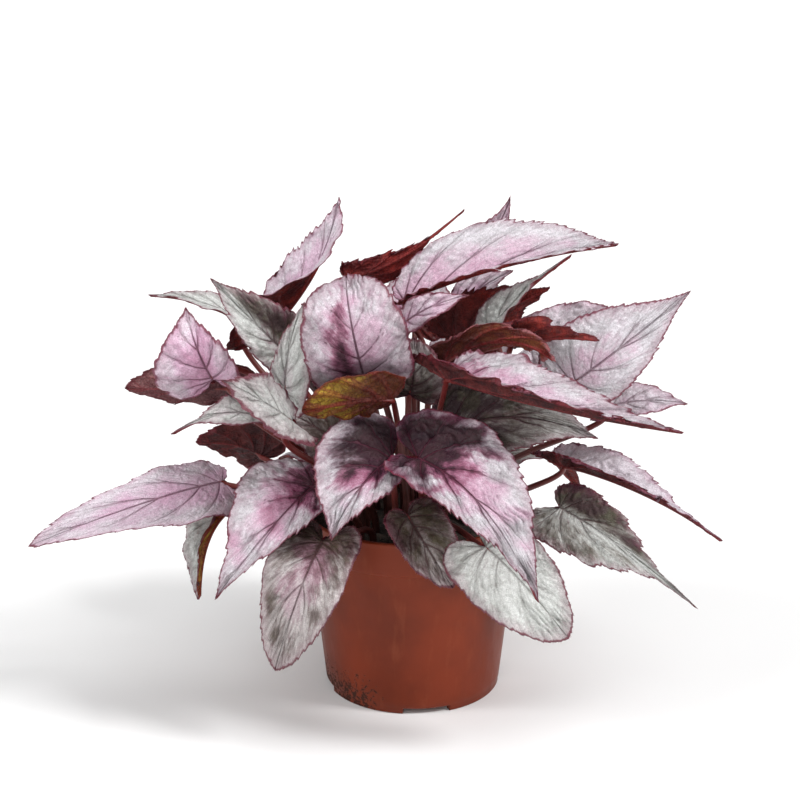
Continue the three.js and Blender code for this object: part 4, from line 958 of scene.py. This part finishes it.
def leafPiece(name, leaf):
    # blade, stem and hairs of one leaf in one mesh
    rng = np.random.default_rng(seedOf(name) + 7)
    # the blade may swell a little past its solid's box, but not past the whole plant's
    wholeLow, wholeHigh = ((np.array(corner) - potAxis) / mm for corner in cadBox)
    ownLow, ownHigh = ((np.array(corner) - potAxis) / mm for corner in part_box(name))
    low = np.maximum(ownLow - blade["swell"], wholeLow + blade["inside"])
    high = np.minimum(ownHigh + blade["swell"], wholeHigh - blade["inside"])
    points, sides, data, maps, edge = bladeSheet(name, leaf, low, high)
    centres, radii = stemPath(leaf, stem["rings"])
    stemPoints, stemFaces, stemShare = tube(centres, radii, stem["sides"])
    # hairs on the stem lean up it; hairs on the margin point outwards
    pick = rng.integers(2, len(centres) - 5, stem["hairs"])
    turn = rng.uniform(0, 2 * np.pi, stem["hairs"])
    along = unit(np.gradient(centres, axis=0))[pick]
    across = unit(np.cross(along, [[0.3, 0.9, 0.1]]))
    out = across * np.cos(turn)[:, None] + np.cross(along, across) * np.sin(turn)[:, None]
    slide = rng.uniform(0, 1, (len(pick), 1))
    roots = centres[pick] * (1 - slide) + centres[pick + 1] * slide + out * radii[pick][:, None] * 0.9
    lengths = stem["hairLength"] * rng.uniform(0.5, 1.1, len(pick))
    stemHairs = hairs(roots, out + 0.5 * along, lengths, stem["hairWidth"])
    middle = edge.mean(0)
    pick = rng.integers(4, len(edge) - 4, blade["edgeHairs"])
    lean = unit(edge[pick] - middle) + 0.5 * rng.normal(size=(len(pick), 3))
    lengths = blade["edgeHairLength"] * rng.uniform(0.4, 1.1, len(pick))
    edgeHairs = hairs(edge[pick] - 0.1 * lean, lean, lengths, blade["edgeHairWidth"])

    groups, extra, start = [], [], len(points)
    for partPoints, faces in ((stemPoints, stemFaces), stemHairs, edgeHairs):
        extra.append(partPoints)
        groups.append(faces + start)
        start += len(partPoints)
    groups = [*sides, groups[0], np.concatenate(groups[1:])]
    first = len(points)
    points = np.concatenate([points, *extra]) * mm + potAxis
    added = len(points) - first
    maps = {key: np.concatenate([places, np.zeros((added, 2))]) for key, places in maps.items()}
    data = {key: np.concatenate([values, np.zeros(added)]) for key, values in data.items()}
    data["share"][first:first + len(stemShare)] = stemShare
    points = np.clip(points, np.array(cadBox[0]), np.array(cadBox[1]))
    materials = [upperSides[leaf["look"]], underSides[leaf["under"]], redStem, redHairs]
    return meshObject(name.replace("leaf_", "begonia_"), points, groups, materials, data, maps)


for name, leaf in leaves.items():
    piece = leafPiece(name, leaf)
    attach(piece, "root")
    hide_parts(name)
print("scene:", len(leaves), "leaves made")


def lathe(name, profile, angles, materials, shape=None):
    # profile of (radius, height) turned about the pot's axis; its first and last points lie on the axis
    profile = np.array(profile, float)
    a, r = np.meshgrid(angles, profile[1:-1, 0])
    z = np.meshgrid(angles, profile[1:-1, 1])[1]
    if shape:
        r, z = shape(r, z, a)
    points = np.stack([r * np.sin(a), -r * np.cos(a), z], -1).reshape(-1, 3)
    points = np.concatenate([points, [[0, 0, profile[0, 1]], [0, 0, profile[-1, 1]]]])
    return meshObject(name, points * mm + potAxis, [ringTriangles(*r.shape)], materials)


# millimetres; colours are linear
pot = {
    "height": 102, "rimRadius": 60, "footRadius": 47.6, "bandHeight": 83, "bandStep": 0.9, "wall": 1.6,
    "rimWidth": 2.6, "lipRadius": 0.9, "innerLipRadius": 0.6,  # roundings of the rim's two edges
    "floorUnderside": 3.5, "floorTop": 5.5, "footWidth": 4,
    "notches": 4, "notchBearing": 9, "notchWidth": 26, "notchHeight": 3.3,
    "drains": 6, "drainRing": 28, "drainRadius": 4, "drainSides": 32,
    "columns": 288, "wallRows": 26, "bandRows": 8,
    "colours": ((0.138, 0.019, 0.0045), (0.190, 0.026, 0.006)), "streaks": (0.27, 0.065, 0.028),
    "splashes": (0.025, 0.014, 0.01),
}


def potMaterial():
    # plastic with clouds of colour and upright streaks, and splashes of soil low on its left
    material, tree, shader = newMaterial("terracottaPlastic")
    place = vectorCalc("ADD", objectPlace(tree), {1: tuple(-potAxis)})  # centred on the pot's axis
    upright = vectorCalc("MULTIPLY", place, {1: (1, 1, 0.25)})
    cloud, streak = noise(place, 22, 4), noise(upright, 160, 4, 0.6)
    fine, specks = noise(place, 1600, 2, 0.7), noise(place, 420, 5, 0.75)
    x, z = (addNode(tree, "SeparateXYZ", {0: place}, axis) for axis in "XZ")
    dirt = spread(x, 0.004, -0.030) * spread(z, 0.040, 0.004)
    spots = calc("MULTIPLY", specks - (0.80 - dirt * 0.34), 22.0, True)
    colour = blend(spread(cloud, 0.35, 0.65), *pot["colours"])
    colour = blend(spread(streak, 0.52, 0.8, 0, 0.35), colour, pot["streaks"])
    plugAll(shader, {
        "Base Color": blend(spots * 0.85, colour, pot["splashes"]),
        "Roughness": calc("ADD", spread(streak, 0.3, 0.7, 0.36, 0.5), spots * 0.4, True),
        "Specular IOR Level": 0.22,
        "Normal": bumpOf(fine * 0.25 + streak * 0.3 + spots * 0.8, 0.35, 0.0005),
    })
    return material


def soilMaterial():
    # dark lumps with paler bits of bark
    material, tree, shader = newMaterial("pottingSoil")
    place = objectPlace(tree)
    lumps, bits = noise(place, 140, 5, 0.65), noise(place, 700, 4, 0.7)
    colour = blend(spread(lumps, 0.35, 0.7), *soil["colours"])
    plugAll(shader, {
        "Base Color": blend(spread(bits, 0.62, 0.72, 0, 0.7), colour, soil["bark"]),
        "Roughness": spread(bits, 0.3, 0.7, 0.75, 0.95),
        "Normal": bumpOf(lumps + bits * 0.5, 0.9, 0.002),
    })
    return material


def outerRadius(z):
    # of the pot's taper, from the foot's radius to the rim's over its height
    return pot["footRadius"] + (pot["rimRadius"] - pot["footRadius"]) * z / pot["height"]


def makePot():
    # wall from the underside round the feet, up the outside, over the rim and down to the inner floor
    collar, top, notch = pot["bandHeight"], pot["height"], pot["notchHeight"]
    below, floor = pot["floorUnderside"], pot["floorTop"]
    rim, foot = pot["rimRadius"], pot["footRadius"]
    band = outerRadius(collar) - pot["bandStep"]
    bandBase = band + pot["bandStep"]
    inner, footIn = rim - pot["rimWidth"], foot - pot["footWidth"]
    innerBand, innerFloor = band - pot["wall"], outerRadius(floor) - pot["wall"]
    lip, innerLip = pot["lipRadius"], pot["innerLipRadius"]
    quarter = np.radians(np.arange(0, 91, 15))  # steps of a quarter turn
    wallSteps = np.linspace(notch + 0.8, collar - 0.4, pot["wallRows"])
    bandSteps = np.linspace(collar + 1.2, top - 1.4, pot["bandRows"])
    profile = [
        (0, below), (6, below), (20, below), (36, below), (footIn - 0.6, below), (footIn, below - 0.3),
        (footIn, 0.6), (footIn + 0.2, 0.15), (footIn + 0.6, 0), (foot - 1.0, 0), (foot - 0.4, 0.2),
        (foot, 0.8), (foot, notch),
        *[(foot + (band - foot) * z / collar, z) for z in wallSteps],
        (band, collar - 0.1), (band + 0.3, collar + 0.05), (bandBase - 0.2, collar + 0.25),
        (bandBase, collar + 0.6),
        *[(bandBase + (rim - bandBase) * (z - collar) / (top - collar), z) for z in bandSteps],
        *[(rim - lip + lip * math.cos(k), top - lip + lip * math.sin(k)) for k in quarter],
        *[(inner + innerLip - innerLip * math.sin(k), top - innerLip + innerLip * math.cos(k))
          for k in quarter],
        (inner - 0.2, top - 3), (innerBand, collar),
        *[(innerFloor + (innerBand - innerFloor) * k, floor + (collar - floor) * k)
          for k in (0.8, 0.6, 0.4, 0.2, 0.02)],
        (innerFloor - 1.0, floor), (36, floor), (20, floor), (6, floor), (0, floor),
    ]
    halfNotch = math.asin(pot["notchWidth"] / 2 / foot)
    centres = np.radians(pot["notchBearing"]) + np.arange(pot["notches"]) * 2 * np.pi / pot["notches"]
    slope = math.radians(0.35)
    offsets = (-halfNotch, -halfNotch + slope, halfNotch - slope, halfNotch)
    jambs = np.concatenate([[c + offset for offset in offsets] for c in centres])
    even = np.arange(pot["columns"]) * 2 * np.pi / pot["columns"]
    nearest = np.abs((even[:, None] - jambs[None] + np.pi) % (2 * np.pi) - np.pi).min(1)
    angles = np.sort(np.concatenate([even[nearest > math.radians(0.4)], jambs]) % (2 * np.pi))

    def cutNotches(r, z, a):
        # inside a notch nothing hangs below its height
        gap = np.abs((a[..., None] - centres + np.pi) % (2 * np.pi) - np.pi).min(-1)
        inside = np.clip((halfNotch - gap) / slope, 0, 1)
        return r, np.where(z < notch + 0.1, np.maximum(z, notch * inside), z)

    piece = lathe("begonia_pot", profile, angles, [terracotta], cutNotches)
    # drain holes: one mesh of upright rods through the bottom, cut out and then removed
    turn = np.linspace(0, 2 * np.pi, pot["drainSides"], endpoint=False)
    ring = pot["drainRadius"] * np.stack([np.cos(turn), np.sin(turn)], -1)
    axis, reach = np.zeros((1, 2)), (below - 2.5, floor + 2.5)
    ends = [(flat, z) for flat in (ring, axis) for z in reach]
    rod = np.concatenate([np.column_stack([flat, np.full(len(flat), z)]) for flat, z in ends])
    around = (np.arange(pot["drains"]) + 0.5) * 2 * np.pi / pot["drains"]
    holes = pot["drainRing"] * np.stack([np.cos(around), np.sin(around), around * 0], -1)
    starts = len(rod) * np.arange(pot["drains"])[:, None, None]
    faces = (starts + ringTriangles(2, pot["drainSides"])).reshape(-1, 3)
    points = (holes[:, None] + rod).reshape(-1, 3) * mm + potAxis
    cutter = meshObject("drainCutter", points, [faces], [terracotta])
    cut = piece.modifiers.new("drains", "BOOLEAN")
    cut.operation, cut.solver, cut.object = "DIFFERENCE", "EXACT", cutter
    evaluated = piece.evaluated_get(bpy.context.evaluated_depsgraph_get())
    finished = bpy.data.meshes.new_from_object(evaluated)
    piece.modifiers.clear()
    piece.data = finished
    bpy.data.objects.remove(cutter)
    return piece


def makeSoil():
    # across the floor of the pot and up its wall, then a mound of rings with lumps of two sizes
    band = outerRadius(pot["bandHeight"]) - pot["bandStep"] - pot["wall"]
    lean = (pot["rimRadius"] - pot["rimWidth"] - band) / (pot["height"] - pot["bandHeight"])
    edge = band + lean * (soil["top"] - pot["bandHeight"]) - soil["gap"]
    floor = outerRadius(pot["floorTop"]) - pot["wall"] - soil["gap"]
    radii = edge * (np.arange(soil["rings"]) + 1) / soil["rings"]
    top = [(r, soil["top"] + soil["mound"] * (1 - (r / edge) ** 2)) for r in radii]
    base = soil["base"]
    profile = [(0, base), (floor * 0.5, base), (floor, base), (floor + 0.3, soil["baseEdge"]),
               (edge, soil["top"] - 2.0), *top[::-1], (0, soil["top"] + soil["mound"])]
    angles = np.arange(soil["columns"]) * 2 * np.pi / soil["columns"]

    def lumpy(r, z, a):
        x, y = r * np.sin(a), -r * np.cos(a)
        rough = sum(ripple(11 + k, x, y, size) * 0.5 for k, size in enumerate(soil["lumpSizes"]))
        onTop = z > soil["top"] - 1
        fade = smooth(0, 3, edge - r) * 0.8 + 0.2
        return r, z + np.where(onTop, soil["roughness"] * rough * fade, 0)

    return lathe("begonia_soil", profile, angles, [darkSoil], lumpy)


crumbs = {"count": 420, "reach": 51, "sizes": (0.5, 1.7), "lift": 0.3, "moundRadius": 54}


def makeCrumbs():
    # loose crumbs: squashed octahedra of drawn sizes, half sunk in the soil
    rng = np.random.default_rng(21)
    count = crumbs["count"]
    reach = crumbs["reach"] * np.sqrt(rng.uniform(0.01, 1, count))
    turn = rng.uniform(0, 2 * np.pi, count)
    size = rng.uniform(*crumbs["sizes"], count)
    z = soil["top"] + soil["mound"] * (1 - (reach / crumbs["moundRadius"]) ** 2) + crumbs["lift"]
    centre = np.stack([reach * np.sin(turn), -reach * np.cos(turn), z], -1)
    corners = np.array([[1, 0, 0], [0, 1, 0], [-1, 0, 0], [0, -1, 0], [0, 0, 1], [0, 0, -1]], float)
    spin = rng.uniform(0, np.pi, count)
    cosine, sine = np.cos(spin)[:, None], np.sin(spin)[:, None]
    x = corners[None, :, 0] * cosine - corners[None, :, 1] * sine
    y = corners[None, :, 0] * sine + corners[None, :, 1] * cosine
    shape = np.stack([x, y, np.broadcast_to(corners[None, :, 2], x.shape)], -1)
    shape = shape * (size[:, None, None] * rng.uniform(0.6, 1.1, (count, 6, 1))) * [1, 1, 0.7]
    faces = np.array([[0, 1, 4], [1, 2, 4], [2, 3, 4], [3, 0, 4],
                      [1, 0, 5], [2, 1, 5], [3, 2, 5], [0, 3, 5]])
    triangles = (6 * np.arange(count)[:, None, None] + faces).reshape(-1, 3)
    points = (centre[:, None] + shape).reshape(-1, 3) * mm + potAxis
    return meshObject("begonia_soil_crumbs", points, [triangles], [darkSoil], shadeSmooth=False)


terracotta = potMaterial()
darkSoil = soilMaterial()
potPiece = makePot()
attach(potPiece, "root")
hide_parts("pot")
soilPiece = makeSoil()
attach(soilPiece, "root")
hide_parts("soil")
crumbPiece = makeCrumbs()
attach(crumbPiece, "root")
print("scene: pot and soil made")

studio = {
    "floorSize": 30.0, "floorTint": (0.88, 0.88, 0.88), "skyLight": 0.27,
    # where each light comes from, its strength and how soft it is, in degrees
    "lights": {"rightLight": ((0.9, -0.38, 0.98), 2.25, 16), "leftLight": ((-1.0, -0.45, 0.8), 1.4, 26),
               "frontLight": ((-0.1, -1.0, 0.55), 0.65, 35), "topLight": ((0.1, -0.1, 1.0), 0.9, 40)},
}


def makeFloor():
    # one pale square, a little uneven in tone
    corners = np.array([[-1, -1, 0], [1, -1, 0], [1, 1, 0], [-1, 1, 0]]) * studio["floorSize"] / 2
    faces = np.array([[0, 1, 2], [0, 2, 3]])
    material, tree, shader = newMaterial("paleFloor")
    tint = noise(objectPlace(tree), 3, 2)
    pale = studio["floorTint"]
    plugAll(shader, {
        "Base Color": blend(tint, pale, tuple(c * 0.985 for c in pale)),
        "Roughness": spread(tint, 0.3, 0.7, 0.8, 0.9),
    })
    floor = meshObject("studioFloor", corners, [faces], [material], shadeSmooth=False)


def makeStudio():
    # white sky and soft suns that shine from their places to the middle
    scene = bpy.context.scene
    world = bpy.data.worlds.new("studioLight")
    world.use_nodes = True
    plugAll(world.node_tree.nodes["Background"], {"Color": (1, 1, 1), "Strength": studio["skyLight"]})
    scene.world = world
    scene.view_settings.view_transform = "Standard"
    for name, (source, strength, softness) in studio["lights"].items():
        light = bpy.data.lights.new(name, "SUN")
        light.energy, light.angle = strength, math.radians(softness)
        lamp = bpy.data.objects.new(name, light)
        scene.collection.objects.link(lamp)
        x, y, z = source
        lamp.rotation_euler = (math.atan2(math.hypot(x, y), z), 0, math.atan2(x, -y))


# the photograph's view from about a metre off: focal length and width in the photograph's pixels, the
# lens's place in metres from the foot of the pot's axis, how many degrees it looks down, sensor in mm
photo = {"focus": 1963, "width": 800, "place": (-0.007, -1.0, 0.477), "down": 17.5, "sensor": 36}


def makeCamera():
    lens = bpy.data.cameras.new("photoCamera")
    lens.sensor_width = photo["sensor"]
    lens.lens = photo["focus"] * photo["sensor"] / photo["width"]
    lens.clip_start = 0.01
    camera = bpy.data.objects.new("photoCamera", lens)
    bpy.context.scene.collection.objects.link(camera)
    camera.location = potAxis + photo["place"]
    camera.rotation_euler = (math.radians(90 - photo["down"]), 0, 0)
    bpy.context.scene.camera = camera


makeFloor()
makeStudio()
makeCamera()
print("scene: studio and camera set")
